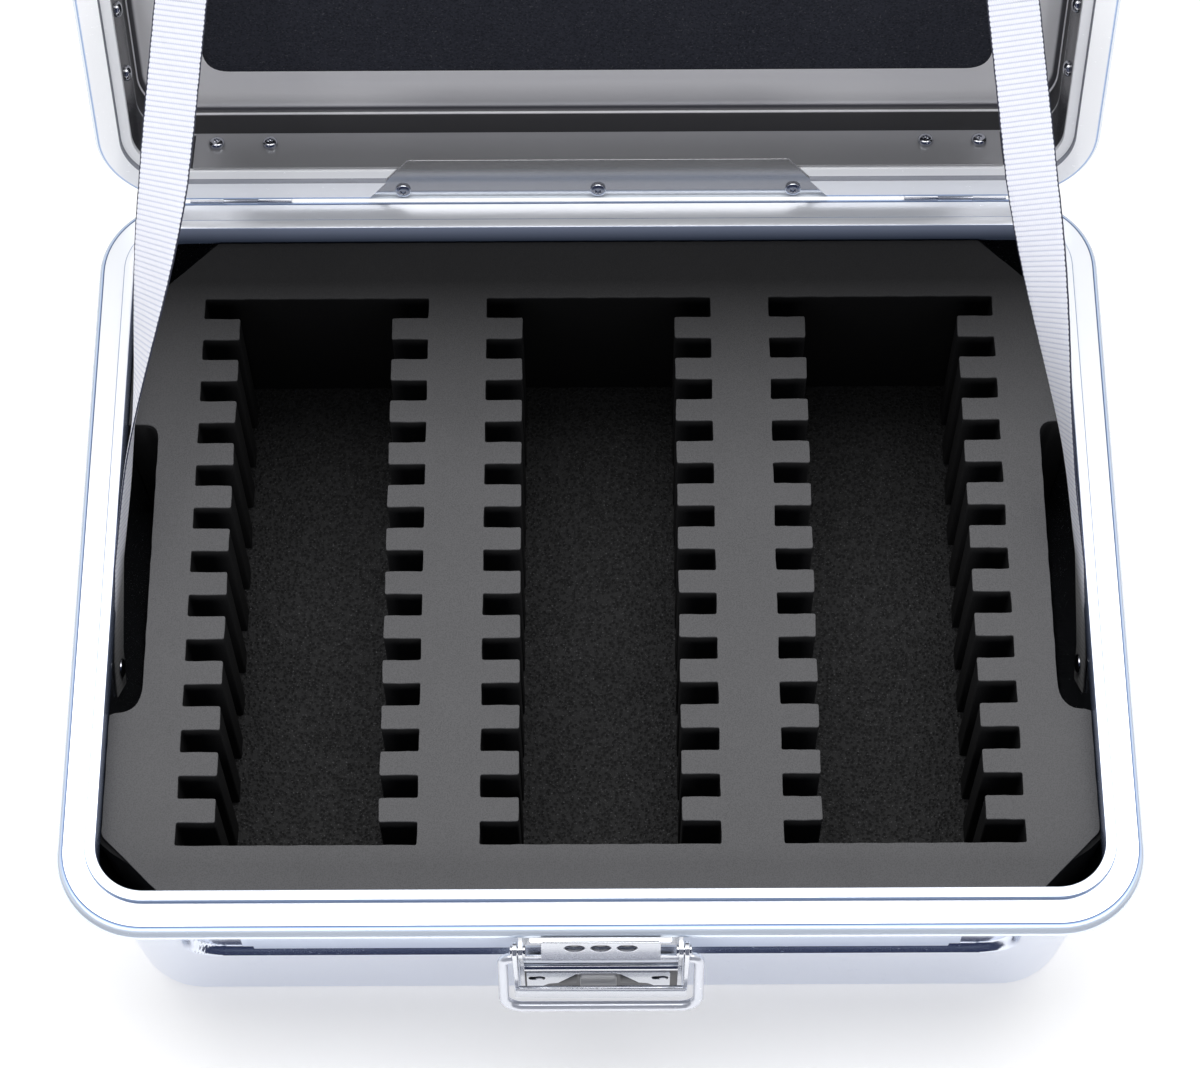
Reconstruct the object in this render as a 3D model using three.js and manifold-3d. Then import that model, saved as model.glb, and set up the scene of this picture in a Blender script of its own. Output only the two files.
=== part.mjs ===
// A hard case for chef knives: a pressed aluminium body with a slotted foam insert, an open lid on two
// hinges, two webbing straps and one draw latch. Millimetres, +Z up, front towards -Y.
// The origin is the middle of the body's bottom face. The lid stands open, as far as its straps let it.
import * as THREE from "three";
import { mergeVertices } from "three/addons/utils/BufferGeometryUtils.js";
import Module from "manifold-3d";

const wasm = await Module();
wasm.setup();

// Driving sizes of the case
const caseWidth = 584;
const caseDepth = 457;
const bodyHeight = 167;
const lidHeight = 60;
const partingGap = 0.4;
const openAngle = 104.4;
const fit = 0.3;
const wideFit = 0.45;
const weldReach = 1e-4;
const holeOverrun = 3;
const overrun = 1;

// Rim frames, drawn as a section: the distance in from the outer edge, and the depth from the parting face
const rimCornerRadius = 48;
const beadRadius = 3;
const beadDepth = 6.5;
const bandWidth = 12;
const lipWidth = 6;
const lipHeight = 3;
const lipChamfer = 0.8;
const recessDepth = 3.4;
const rimWall = 2.2;
const skirtDepth = 31;
const skirtInset = 9.5;
const skirtTopInset = 4;
const rimFloor = 14.3;
const liningWall = 1.4;
const frontMargin = 4.2;
const frontMarginStart = 12;

// Pressed pans
const panWall = 2;
const lidWall = 1.6;
const flangeInset = 12;
const bodyWallInset = 15;
const lidWallInset = 17;
const draftShare = 0.052;
const lidDraftShare = 0.026;
const wallCornerRadius = 42;
const bodyFillet = 18;
const lidFillet = 26;
const recessMargin = 65;
const recessHeight = 65;
const recessInset = 23.8;
const recessCorner = 22;
const ledgeDrop = 84;

// Foam
const foamDrop = 12;
const foamFit = 0.4;
const foamFrontCut = 40;
const foamRearCut = 55;
const bays = 3;
const bayDepth = 110.6;
const outerRib = 44.1;
const middleRib = 33.9;
const frontRib = 29.8;
const rearRib = 42.6;
const slotsPerSide = 13;
const slotShare = 0.4945;
const slotReachShare = 0.161;
const sideNotchLength = 180;
const sideNotchDepth = 22;
const sideNotchCorner = 12;
const sideNotchCentreY = -4.5;
const padSideMargin = 64;
const padEndMargin = 52;
const padThickness = 10;
const padCorner = 24;
const padEdge = 1.5;

// Hinges
const hingeMargin = 81;
const hingeLength = 60;
const knuckleRadius = 2.6;
const knuckleGap = 0.4;
const pinRadius = 1;
const axisInset = 0.5;
const leafThickness = 1.6;
const leafStart = 3.4;
const leafBend = 7;
const leafFoot = 12;
const leafEnd = 29;

// Plates and screws inside the lid
const stripMargin = 57;
const stripThickness = 1.2;
const stripTop = 4.8;
const screwEnd = 8;
const screwSpacing = 32.5;
const screwDepth = 19;
const screwHeadRadius = 4;
const screwHeadHeight = 3;
const screwShankRadius = 2.1;
const screwSocketRadius = 1.8;
const screwSocketDepth = 1.4;
const coverLowerWidth = 271;
const coverUpperWidth = 223;
const coverReach = 28.5;
const coverEdge = 0.9;
const coverDepth = 3;
const coverThickness = 1.2;
const coverScrewX = 115;
const coverScrewReach = 6;
const coverHeadHeight = 2;
const rivetsPerSide = 7;
const rivetPitch = 47.5;
const rivetDepth = 17;
const rivetRadius = 4;
const rivetHeight = 3;

// Straps
const strapWidth = 28.5;
const strapThickness = 1.5;
const strapFootY = -52;
const strapFootDrop = 47;
const strapHeadMargin = 92;
const strapHeadReach = 336;
const strapTail = 13;
const strapFlat = 8;
const strapSteps = 28;
const strapTwistStartShare = 0.12;
const strapTwistEndShare = 0.62;
const strapRivetRadius = 5.5;
const strapRivetHeight = 2.6;

// Latch
const stripEndGap = 22;
const stripGap = 1.8;
const stripHeight = 50;
const stripPlate = 1.5;
const stripNotchWidth = 6;
const stripNotchHeight = 4;
const leverWidth = 94;
const leverPlate = 2.5;
const leverFlange = 9.6;
const leverAxisOut = 7;
const leverAxisDrop = 4;
const leverLipDrop = 45;
const leverLipHeight = 9;
const leverLipOut = 6;
const leverLipPlate = 2.4;
const cheekPlate = 2.5;
const cheekNose = 4.2;
const basePlate = 2;
const windowPlate = 1.5;
const windowMargin = 15;
const windowDrop = 22;
const windowRadius = 5.5;
const windowPitchShare = 0.149;
const windowCentreDrop = 8.5;
const windowTopMargin = 9;
const windowTabHeight = 7;
const discRadius = 4;
const discHeight = 1.2;
const backingPlate = 0.9;
const backingHeight = 13;
const barRadius = 2.3;
const barDrop = 34;
const barOut = 1;
const lowerPlateTop = 45;
const lowerPlateBottom = 63;
const lowerPlateOut = -1;
const catchMargin = 8;
const catchHeight = 13;
const catchPlate = 1.5;
const catchTabShare = 0.2;
const catchTabHeight = 9;
const catchTabOut = 2.2;
const catchSlit = 2.2;
const catchTravel = 3;
const guidePinMargin = 13.5;
const guidePinRadius = 1.4;
const guideSlotHeight = 3.6;
const guideSlotWidth = 6.6;
const pivotRadius = 2.4;
const pivotHeadRadius = 3.2;
const pivotHeadHeight = 1.1;
const bailRodRadius = 2.5;
const bailGap = 5.5;
const bailReach = 50;
const bailForward = 3.5;
const bailPivotDrop = 9;
const bailPivotOut = 1;
const bailTopCorner = 5;
const bailBottomCorner = 10;
const keeperWidth = 50;
const keeperPlate = 2;
const keeperHeight = 21;
const keeperNose = 5;
const keeperRivetX = 16;

// Smoothness
const domeShoulderShare = 0.75;
const domeShoulderHeightShare = 0.8;
const domeTopShare = 0.35;
const headEdgeShare = 0.6;
const headTopShare = 0.8;
const keeperHeadShare = 0.75;
const keeperHeadHeightShare = 0.6;
const cornerSteps = 8;
const filletSteps = 6;
const roundSteps = 20;
const rodSides = 10;

// Places worked out from the sizes
const halfWidth = caseWidth / 2;
const halfDepth = caseDepth / 2;
const bandZ = bodyHeight;
const lidBandZ = bodyHeight + partingGap;
const lidTopZ = lidBandZ + lidHeight;
const axisY = halfDepth - axisInset;
const axisZ = bodyHeight + partingGap / 2;
const rimInset = beadRadius + bandWidth + lipWidth;
const flangeTopZ = bandZ - rimFloor - fit;
const ledgeHeight = bodyHeight - ledgeDrop;
const recessHalf = halfWidth - recessMargin;
const foamTop = bodyHeight - foamDrop;
const floorFoamZ = foamTop - bayDepth;
const leverY = -halfDepth - leverAxisOut;
const leverZ = bandZ - leverAxisDrop;
const bailY = leverY - bailPivotOut;
const bailZ = leverZ - bailPivotDrop;
const recessFloorY = -halfDepth + recessInset;
const foamFrontY = recessFloorY + panWall + foamFit;
const foamSideInset = bodyWallInset + panWall + foamFit;
const bayWidth = (caseWidth - 2 * foamSideInset - 2 * outerRib - (bays - 1) * middleRib) / bays;
const bayPitch = bayWidth + middleRib;
const bayFrontY = foamFrontY + frontRib;
const baySpan = halfDepth - foamSideInset - rearRib - bayFrontY;
const slotPitch = baySpan / (slotsPerSide - 1 + slotShare);
const slotWidth = slotPitch * slotShare;
const slotReach = bayWidth * slotReachShare;
const hingeX = halfWidth - hingeMargin;
const stripHalf = halfWidth - stripMargin;
const strapHeadX = halfWidth - strapHeadMargin;
const strapFootZ = bodyHeight - strapFootDrop;
const guidePinX = leverWidth / 2 - guidePinMargin;
const windowHalf = leverWidth / 2 - windowMargin;
const windowPitch = leverWidth * windowPitchShare;
const catchHalf = leverWidth / 2 - catchMargin;
const catchTabWidth = leverWidth * catchTabShare;
const padFaceZ = lidTopZ - lidWall - fit - padThickness;
const openTurn = THREE.MathUtils.degToRad(-openAngle);

const colours = { metal: 0xdfe3ec, plate: 0x55585c, steel: 0xc9ccd2, foam: 0x4a4a4d, dark: 0x1c1d20,
  pad: 0x24262b, webbing: 0xf0f2fa };

// Turns a closed geometry's faces outwards, by the sign of its volume
function facingOut(geometry) {
  const p = geometry.attributes.position;
  const index = geometry.index.array;
  const [a, b, c] = [new THREE.Vector3(), new THREE.Vector3(), new THREE.Vector3()];
  let volume = 0;
  for (let i = 0; i < index.length; i += 3) {
    a.fromBufferAttribute(p, index[i]);
    b.fromBufferAttribute(p, index[i + 1]);
    c.fromBufferAttribute(p, index[i + 2]);
    volume += a.dot(b.cross(c));
  }
  if (volume < 0) {
    for (let i = 0; i < index.length; i += 3) {
      [index[i + 1], index[i + 2]] = [index[i + 2], index[i + 1]];
    }
  }
  return geometry;
}

// A closed skin over a row of loops with equal counts of points. A ring joins its last loop to its first,
// and anything else gets a flat cap at each end. A thin ribbon is cut along matching diagonals on its two
// faces, so that a twist can't push one through the other.
function skinOver(loops, isRing = false, isRibbon = false) {
  const count = loops[0].length;
  const positions = loops.flat().flatMap((v) => [v.x, v.y, v.z]);
  const index = [];
  const bands = isRing ? loops.length : loops.length - 1;
  for (let i = 0; i < bands; i++) {
    const low = i * count;
    const high = ((i + 1) % loops.length) * count;
    for (let k = 0; k < count; k++) {
      const next = (k + 1) % count;
      if (isRibbon && k >= count / 2) {
        index.push(low + k, low + next, high + k, low + next, high + next, high + k);
      } else {
        index.push(low + k, low + next, high + next, low + k, high + next, high + k);
      }
    }
  }
  if (!isRing) {
    for (const [start, turned] of [[0, true], [(loops.length - 1) * count, false]]) {
      const loop = loops[start / count];
      const middle = loop.reduce((sum, v) => sum.add(v), new THREE.Vector3()).divideScalar(count);
      const hub = positions.length / 3;
      positions.push(middle.x, middle.y, middle.z);
      for (let k = 0; k < count; k++) {
        const edge = [start + k, start + ((k + 1) % count)];
        index.push(hub, ...(turned ? edge.reverse() : edge));
      }
    }
  }
  const geometry = new THREE.BufferGeometry();
  geometry.setAttribute("position", new THREE.Float32BufferAttribute(positions, 3));
  geometry.setIndex(index);
  return facingOut(geometry);
}

// A rounded rectangle at one height, set in from the case's outline
function caseLoop(inset, radius, z, frontInset = inset) {
  const loop = [];
  const corners = [[1, 1], [-1, 1], [-1, -1], [1, -1]];
  corners.forEach(([sx, sy], quarter) => {
    const edgeY = halfDepth - (sy < 0 ? frontInset : inset);
    const centre = [sx * (halfWidth - inset - radius), sy * (edgeY - radius)];
    for (let k = 0; k <= cornerSteps; k++) {
      const turn = (quarter + k / cornerSteps) * Math.PI / 2;
      loop.push(new THREE.Vector3(centre[0] + radius * Math.cos(turn), centre[1] + radius * Math.sin(turn), z));
    }
  });
  return loop;
}

// A rectangle with cut corners at one height
function chamferedLoop(halfX, frontY, rearY, z, step = 0) {
  const frontCut = foamFrontCut - step;
  const rearCut = foamRearCut - 2 * step;
  const right = [[halfX - frontCut, frontY], [halfX, frontY + frontCut], [halfX, rearY - rearCut],
    [halfX - rearCut, rearY]];
  const outline = [...right, ...right.map(([x, y]) => [-x, y]).reverse()];
  return outline.map(([x, y]) => new THREE.Vector3(x, y, z));
}

function solidOf(geometry) {
  const plain = geometry.clone();
  plain.deleteAttribute("normal");
  plain.deleteAttribute("uv");
  const merged = mergeVertices(plain, weldReach);
  return new wasm.Manifold(new wasm.Mesh({
    numProp: 3,
    vertProperties: new Float32Array(merged.attributes.position.array),
    triVerts: new Uint32Array(merged.index.array),
  }));
}

function geometryOf(solid) {
  const mesh = solid.getMesh();
  const geometry = new THREE.BufferGeometry();
  geometry.setAttribute("position", new THREE.Float32BufferAttribute(mesh.vertProperties, 3));
  geometry.setIndex(Array.from(mesh.triVerts));
  return geometry;
}

function cutFrom(body, ...tools) {
  return geometryOf(tools.reduce((solid, tool) => solid.subtract(solidOf(tool)), solidOf(body)));
}

function joined(...pieces) {
  return geometryOf(pieces.map(solidOf).reduce((solid, piece) => solid.add(piece)));
}

// An outline of [y, z] points carried along X
function alongX(points, x, length) {
  const shape = new THREE.Shape(points.map(([y, z]) => new THREE.Vector2(y, z)));
  const geometry = new THREE.ExtrudeGeometry(shape, { depth: length, bevelEnabled: false });
  geometry.applyMatrix4(new THREE.Matrix4().set(0, 0, 1, x, 1, 0, 0, 0, 0, 1, 0, 0, 0, 0, 0, 1));
  return facingOut(mergeVertices(stripped(geometry), weldReach));
}

// A shape in X and Z carried back along Y from its front face
function alongY(shape, frontY, length) {
  const geometry = new THREE.ExtrudeGeometry(shape, { depth: length, bevelEnabled: false, curveSegments: 8 });
  geometry.applyMatrix4(new THREE.Matrix4().set(1, 0, 0, 0, 0, 0, 1, frontY, 0, 1, 0, 0, 0, 0, 0, 1));
  return facingOut(mergeVertices(stripped(geometry), weldReach));
}

// A shape in X and Y carried up from one height
function alongZ(shape, z, height) {
  const geometry = new THREE.ExtrudeGeometry(shape, { depth: height, bevelEnabled: false, curveSegments: 6 });
  geometry.translate(0, 0, z);
  return facingOut(mergeVertices(stripped(geometry), weldReach));
}

function stripped(geometry) {
  geometry.deleteAttribute("normal");
  geometry.deleteAttribute("uv");
  return geometry;
}

function rectangle(x0, x1, v0, v1, corner = 0) {
  const shape = new THREE.Shape();
  if (corner === 0) {
    return new THREE.Shape([[x0, v0], [x1, v0], [x1, v1], [x0, v1]].map(([x, v]) => new THREE.Vector2(x, v)));
  }
  shape.moveTo(x0 + corner, v0);
  shape.lineTo(x1 - corner, v0);
  shape.absarc(x1 - corner, v0 + corner, corner, -Math.PI / 2, 0);
  shape.lineTo(x1, v1 - corner);
  shape.absarc(x1 - corner, v1 - corner, corner, 0, Math.PI / 2);
  shape.lineTo(x0 + corner, v1);
  shape.absarc(x0 + corner, v1 - corner, corner, Math.PI / 2, Math.PI);
  shape.lineTo(x0, v0 + corner);
  shape.absarc(x0 + corner, v0 + corner, corner, Math.PI, 3 * Math.PI / 2);
  return shape;
}

function box(x0, x1, y0, y1, z0, z1) {
  return stripped(new THREE.BoxGeometry(x1 - x0, y1 - y0, z1 - z0)
    .translate((x0 + x1) / 2, (y0 + y1) / 2, (z0 + z1) / 2));
}

// A turned piece on an axis along X, from [along, radius] points
function turnedAlongX(profile, y, z, steps = roundSteps) {
  const geometry = new THREE.LatheGeometry(profile.map(([t, r]) => new THREE.Vector2(r, t)), steps);
  geometry.rotateZ(-Math.PI / 2).translate(0, y, z);
  return facingOut(mergeVertices(stripped(geometry), weldReach));
}

function rodAlongX(x0, x1, radius, y, z, steps = roundSteps) {
  return turnedAlongX([[x0, 0], [x0, radius], [x1, radius], [x1, 0]], y, z, steps);
}

// A turned piece on an axis along Y, from [along, radius] points
function turnedAlongY(profile, x, z, steps = roundSteps) {
  const geometry = new THREE.LatheGeometry(profile.map(([t, r]) => new THREE.Vector2(r, t)), steps);
  geometry.translate(x, 0, z);
  return facingOut(mergeVertices(stripped(geometry), weldReach));
}

function turnedAlongZ(profile, x, y, steps = roundSteps) {
  const geometry = new THREE.LatheGeometry(profile.map(([t, r]) => new THREE.Vector2(r, t)), steps);
  geometry.rotateX(Math.PI / 2).translate(x, y, 0);
  return facingOut(mergeVertices(stripped(geometry), weldReach));
}

// A domed rivet or a pan head: it starts at the seat and stands out by its height
function domeProfile(seat, radius, height, way) {
  const edge = height / 3;
  const shoulder = seat + way * height * domeShoulderHeightShare;
  return [[seat, 0], [seat, radius], [seat + way * edge, radius], [shoulder, radius * domeShoulderShare],
    [seat + way * height, radius * domeTopShare], [seat + way * height, 0]];
}

// A pan head with a round socket, on a short shank that goes into its hole
function screwProfile(seat, height, shank, way) {
  const top = seat + way * height;
  return [[seat - way * shank, 0], [seat - way * shank, screwShankRadius], [seat, screwShankRadius],
    [seat, screwHeadRadius], [seat + way * height * headEdgeShare, screwHeadRadius],
    [top, screwHeadRadius * headTopShare],
    [top, screwSocketRadius], [top - way * screwSocketDepth, screwSocketRadius * headTopShare],
    [top - way * screwSocketDepth, 0]];
}

// The rounded outer bead that both rims share, as [inset, depth] points from the skirt up to the band
function beadPoints() {
  const points = [];
  const lowCentre = beadDepth - beadRadius;
  for (let k = 0; k <= filletSteps; k++) {
    const turn = (k / filletSteps) * Math.PI / 2;
    points.push([beadRadius - beadRadius * Math.sin(turn), lowCentre + beadRadius * Math.cos(turn)]);
  }
  for (let k = 0; k <= filletSteps; k++) {
    const turn = (k / filletSteps) * Math.PI / 2;
    points.push([beadRadius - beadRadius * Math.cos(turn), beadRadius - beadRadius * Math.sin(turn)]);
  }
  return points;
}

// A rim section carried round the case: depths go down from the band on the body and up on the lid.
// Its inner part lies further in along the front, where the pressed-in panel is.
function rimAround(section, zOf) {
  return skinOver(section.map(([inset, depth]) => {
    const reach = bandWidth + beadRadius - frontMarginStart;
    const share = THREE.MathUtils.clamp((inset - frontMarginStart) / reach, 0, 1);
    return caseLoop(inset, rimCornerRadius - inset, zOf(depth), inset + frontMargin * share);
  }), true);
}

function skirtPoints() {
  return [[skirtInset + rimWall, skirtDepth], [skirtInset, skirtDepth], [skirtTopInset, beadDepth]];
}

function hingeSeats() {
  return [-hingeX, hingeX].map((x) => rodAlongX(x - hingeLength / 2 - fit, x + hingeLength / 2 + fit,
    knuckleRadius + knuckleGap, axisY, axisZ));
}

function bodyRim() {
  const bandEnd = beadRadius + bandWidth;
  const section = [...skirtPoints(), ...beadPoints(), [bandEnd, 0], [bandEnd, lipChamfer - lipHeight],
    [bandEnd + lipChamfer, -lipHeight], [rimInset - lipChamfer, -lipHeight], [rimInset, lipChamfer - lipHeight],
    [rimInset, rimFloor], [skirtInset + rimWall, rimFloor]];
  return cutFrom(rimAround(section, (depth) => bandZ - depth), ...hingeSeats());
}

function coverOutline(spread) {
  const lower = coverLowerWidth / 2 + spread;
  const upper = coverUpperWidth / 2 + spread;
  const low = halfDepth - coverEdge + spread;
  const high = halfDepth - coverReach - spread;
  return new THREE.Shape([[-lower, low], [-upper, high], [upper, high], [lower, low]]
    .map(([x, y]) => new THREE.Vector2(x, y)));
}

function lidRim() {
  const bandEnd = beadRadius + bandWidth - wideFit;
  const liningOuter = rimInset - liningWall;
  const section = [...skirtPoints(), ...beadPoints(), [bandEnd, 0], [bandEnd, recessDepth], [rimInset, recessDepth],
    [rimInset, skirtDepth], [liningOuter, skirtDepth], [liningOuter, rimFloor], [skirtInset + rimWall, rimFloor]];
  const pocket = alongZ(coverOutline(fit), lidBandZ - overrun, overrun + coverDepth + coverThickness + fit);
  return cutFrom(rimAround(section, (depth) => lidBandZ + depth), pocket, ...hingeSeats());
}

// A pressed pan: heights go up from its floor. The wall leans out by its draft, and a flange turns out on top.
function panLoops(wallInset, radius, fillet, height, draft, zOf) {
  const leaning = (h) => wallInset + draft * (height - h);
  const loops = [];
  for (let k = 0; k <= filletSteps; k++) {
    const turn = (k / filletSteps) * Math.PI / 2;
    const inward = fillet * (1 - Math.sin(turn));
    loops.push(caseLoop(leaning(fillet) + inward, radius - inward, zOf(fillet * (1 - Math.cos(turn)))));
  }
  loops.push(caseLoop(wallInset, radius, zOf(height)));
  return loops;
}

function panOutside(wallInset, radius, fillet, height, wall, draft, zOf) {
  const loops = panLoops(wallInset, radius, fillet, height - wall, draft, zOf);
  const flangeRadius = rimCornerRadius - flangeInset;
  loops.push(caseLoop(flangeInset, flangeRadius, zOf(height - wall)));
  loops.push(caseLoop(flangeInset, flangeRadius, zOf(height)));
  return skinOver(loops);
}

function panInside(wallInset, radius, fillet, height, wall, draft, zOf) {
  const loops = panLoops(wallInset + wall, radius - wall, fillet - wall, height + overrun - wall, draft,
    (h) => zOf(h + wall));
  return skinOver(loops);
}

function frontPanel(grown) {
  const outline = rectangle(-recessHalf - grown, recessHalf + grown, ledgeHeight - grown,
    ledgeHeight + recessHeight + grown, recessCorner);
  return alongY(outline, -halfDepth - overrun, recessInset + grown + overrun);
}

function bodyShell() {
  const asZ = (h) => h;
  const sizes = [bodyWallInset, wallCornerRadius, bodyFillet, flangeTopZ, panWall, draftShare, asZ];
  const outside = solidOf(panOutside(...sizes));
  const inside = solidOf(panInside(...sizes));
  const hollow = inside.subtract(solidOf(frontPanel(panWall)));
  return geometryOf(outside.subtract(solidOf(frontPanel(0))).subtract(hollow));
}

function lidShell() {
  const height = lidTopZ - (lidBandZ + rimFloor + fit);
  const radius = rimCornerRadius - lidWallInset;
  const sizes = [lidWallInset, radius, lidFillet, height, lidWall, lidDraftShare, (h) => lidTopZ - h];
  return cutFrom(panOutside(...sizes), panInside(...sizes));
}

// How far the body's inner wall is from the outline at a height
function innerInset(z) {
  return bodyWallInset + panWall + draftShare * (flangeTopZ - z);
}

function foamInsert() {
  const bottom = floorFoamZ + fit;
  const step = rimInset - innerInset(flangeTopZ);
  const stack = [[bottom, innerInset(bottom), 0], [flangeTopZ, rimInset - step, 0], [flangeTopZ, rimInset, step],
    [foamTop, rimInset, step]];
  const loops = stack.map(([z, wall, narrower]) => {
    const inset = wall + foamFit;
    return chamferedLoop(halfWidth - inset, foamFrontY, halfDepth - inset, z, narrower);
  });
  const tools = Array.from({ length: bays }, (_, k) => bayCutter((k - (bays - 1) / 2) * bayPitch, bottom));
  const notches = [-1, 1].map((side) => sideNotch(side, bottom));
  return cutFrom(skinOver(loops), ...tools, ...notches);
}

// One bay seen from above: a trough with a comb of slots down both sides
function bayCutter(centreX, bottom) {
  const half = bayWidth / 2 - slotReach;
  const right = [];
  for (let slot = 0; slot < slotsPerSide; slot++) {
    const y = bayFrontY + slot * slotPitch;
    right.push([half, y], [half + slotReach, y], [half + slotReach, y + slotWidth], [half, y + slotWidth]);
  }
  const outline = right.slice(1, -1);
  const left = outline.map(([x, y]) => [-x, y]).reverse();
  const shape = new THREE.Shape([...outline, ...left].map(([x, y]) => new THREE.Vector2(centreX + x, y)));
  return alongZ(shape, bottom - overrun, foamTop - bottom + 2 * overrun);
}

function sideNotch(side, bottom) {
  const reach = halfWidth - innerInset(foamTop) - sideNotchDepth;
  const outer = halfWidth + overrun;
  const shape = rectangle(Math.min(side * reach, side * outer), Math.max(side * reach, side * outer),
    sideNotchCentreY - sideNotchLength / 2, sideNotchCentreY + sideNotchLength / 2, sideNotchCorner);
  return alongZ(shape, bottom - overrun, foamTop - bottom + 2 * overrun);
}

function foamBase() {
  const low = bodyFillet;
  const loops = [panWall + foamFit, low, floorFoamZ].map((z) => {
    const inset = innerInset(z) + foamFit + (z < low ? bodyFillet - panWall : 0);
    return chamferedLoop(halfWidth - inset, z < low ? inset - halfDepth : foamFrontY, halfDepth - inset, z);
  });
  return skinOver(loops);
}

function lidPad() {
  const halfX = halfWidth - padSideMargin;
  const halfY = halfDepth - padEndMargin;
  const edges = [[padEdge, 0], [0, padEdge], [0, padThickness]];
  const loops = edges.map(([inset, up]) => {
    const shape = rectangle(inset - halfX, halfX - inset, inset - halfY, halfY - inset, padCorner - inset);
    return shape.getPoints(cornerSteps).slice(0, -1)
      .map((p) => new THREE.Vector3(p.x, p.y, padFaceZ + up));
  });
  return skinOver(loops);
}

// A hinge leaf hugs the bead and lies on the skirt; its knuckles alone reach the pin
function hingeLeaf(x, zOf, ranges) {
  const outer = halfDepth + fit;
  const skirtAt = (depth) => halfDepth - skirtTopInset
    - (skirtInset - skirtTopInset) * (depth - beadDepth) / (skirtDepth - beadDepth) + wideFit;
  const start = leafStart - partingGap / 2;
  const inner = [[outer, start], [outer, leafBend], [skirtAt(leafFoot), leafFoot], [skirtAt(leafEnd), leafEnd]];
  const shell = [...inner, ...inner.slice().reverse().map(([y, depth]) => [y + leafThickness, depth])];
  const leaf = alongX(shell.map(([y, depth]) => [y, zOf(depth)]), x - hingeLength / 2, hingeLength);
  const knuckles = ranges.flatMap(([x0, x1]) => [
    rodAlongX(x + x0, x + x1, knuckleRadius, axisY, axisZ),
    alongX([[outer, 0], [outer, start + overrun], [outer + leafThickness, start + overrun],
      [outer + leafThickness, 0]].map(([y, depth]) => [y, zOf(depth)]), x + x0, x1 - x0),
  ]);
  const bore = rodAlongX(x - hingeLength, x + hingeLength, pinRadius + fit, axisY, axisZ, roundSteps / 2);
  return cutFrom(joined(leaf, ...knuckles), bore);
}

function bodyLeaf(x) {
  const third = hingeLength / 6;
  return hingeLeaf(x, (depth) => bandZ - depth, [[-hingeLength / 2, -third - fit], [third + fit, hingeLength / 2]]);
}

function lidLeaf(x) {
  const third = hingeLength / 6;
  return hingeLeaf(x, (depth) => lidBandZ + depth, [[fit - third, third - fit]]);
}

function hingeStrip() {
  const outer = halfDepth - rimInset - fit;
  const strip = box(-stripHalf, stripHalf, outer - stripThickness, outer,
    lidBandZ + stripTop, lidBandZ + skirtDepth - fit);
  const holes = stripScrewPlaces().map((x) => turnedAlongY([[outer - holeOverrun, 0],
    [outer - holeOverrun, screwShankRadius + fit], [outer + overrun, screwShankRadius + fit], [outer + overrun, 0]],
  x, lidBandZ + screwDepth));
  return cutFrom(strip, ...holes);
}

function stripScrewPlaces() {
  const outer = stripHalf - screwEnd;
  return [-outer, screwSpacing - outer, outer - screwSpacing, outer];
}

function stripScrew(x) {
  const seat = halfDepth - rimInset - fit - stripThickness - fit;
  return turnedAlongY(screwProfile(seat, screwHeadHeight, stripThickness + fit, -1), x, lidBandZ + screwDepth);
}

function coverPlaces() {
  return [-coverScrewX, 0, coverScrewX];
}

function hingeCover() {
  const z = lidBandZ + coverDepth;
  const plate = alongZ(coverOutline(0), z, coverThickness);
  const holes = coverPlaces().map((x) => turnedAlongZ([[z - overrun, 0], [z - overrun, screwShankRadius + fit],
    [z + coverThickness + overrun, screwShankRadius + fit], [z + coverThickness + overrun, 0]],
  x, halfDepth - coverScrewReach));
  return cutFrom(plate, ...holes);
}

function coverScrew(x) {
  const seat = lidBandZ + coverDepth - fit;
  return turnedAlongZ(screwProfile(seat, coverHeadHeight, coverThickness + fit, -1), x,
    halfDepth - coverScrewReach);
}

function lidRivet(side, y) {
  const seat = side * (halfWidth - rimInset - fit);
  return turnedAlongX(domeProfile(seat, rivetRadius, rivetHeight, -side), y, lidBandZ + rivetDepth);
}

// A point on the lid's pad for a strap, in the case's own frame once the lid is open
function strapOnPad(side, reach, rise) {
  const shut = new THREE.Vector3(side * strapHeadX, axisY - reach, padFaceZ - rise);
  const pivot = new THREE.Vector3(0, axisY, axisZ);
  return shut.sub(pivot).applyAxisAngle(new THREE.Vector3(1, 0, 0), openTurn).add(pivot);
}

// A point on the side wall for a strap, measured along the strap's way up
function strapOnWall(side, way, reach) {
  const point = new THREE.Vector3(0, strapFootY, strapFootZ).addScaledVector(way, reach);
  point.x = side * (halfWidth - innerInset(point.z) - fit - strapThickness / 2);
  return point;
}

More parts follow.
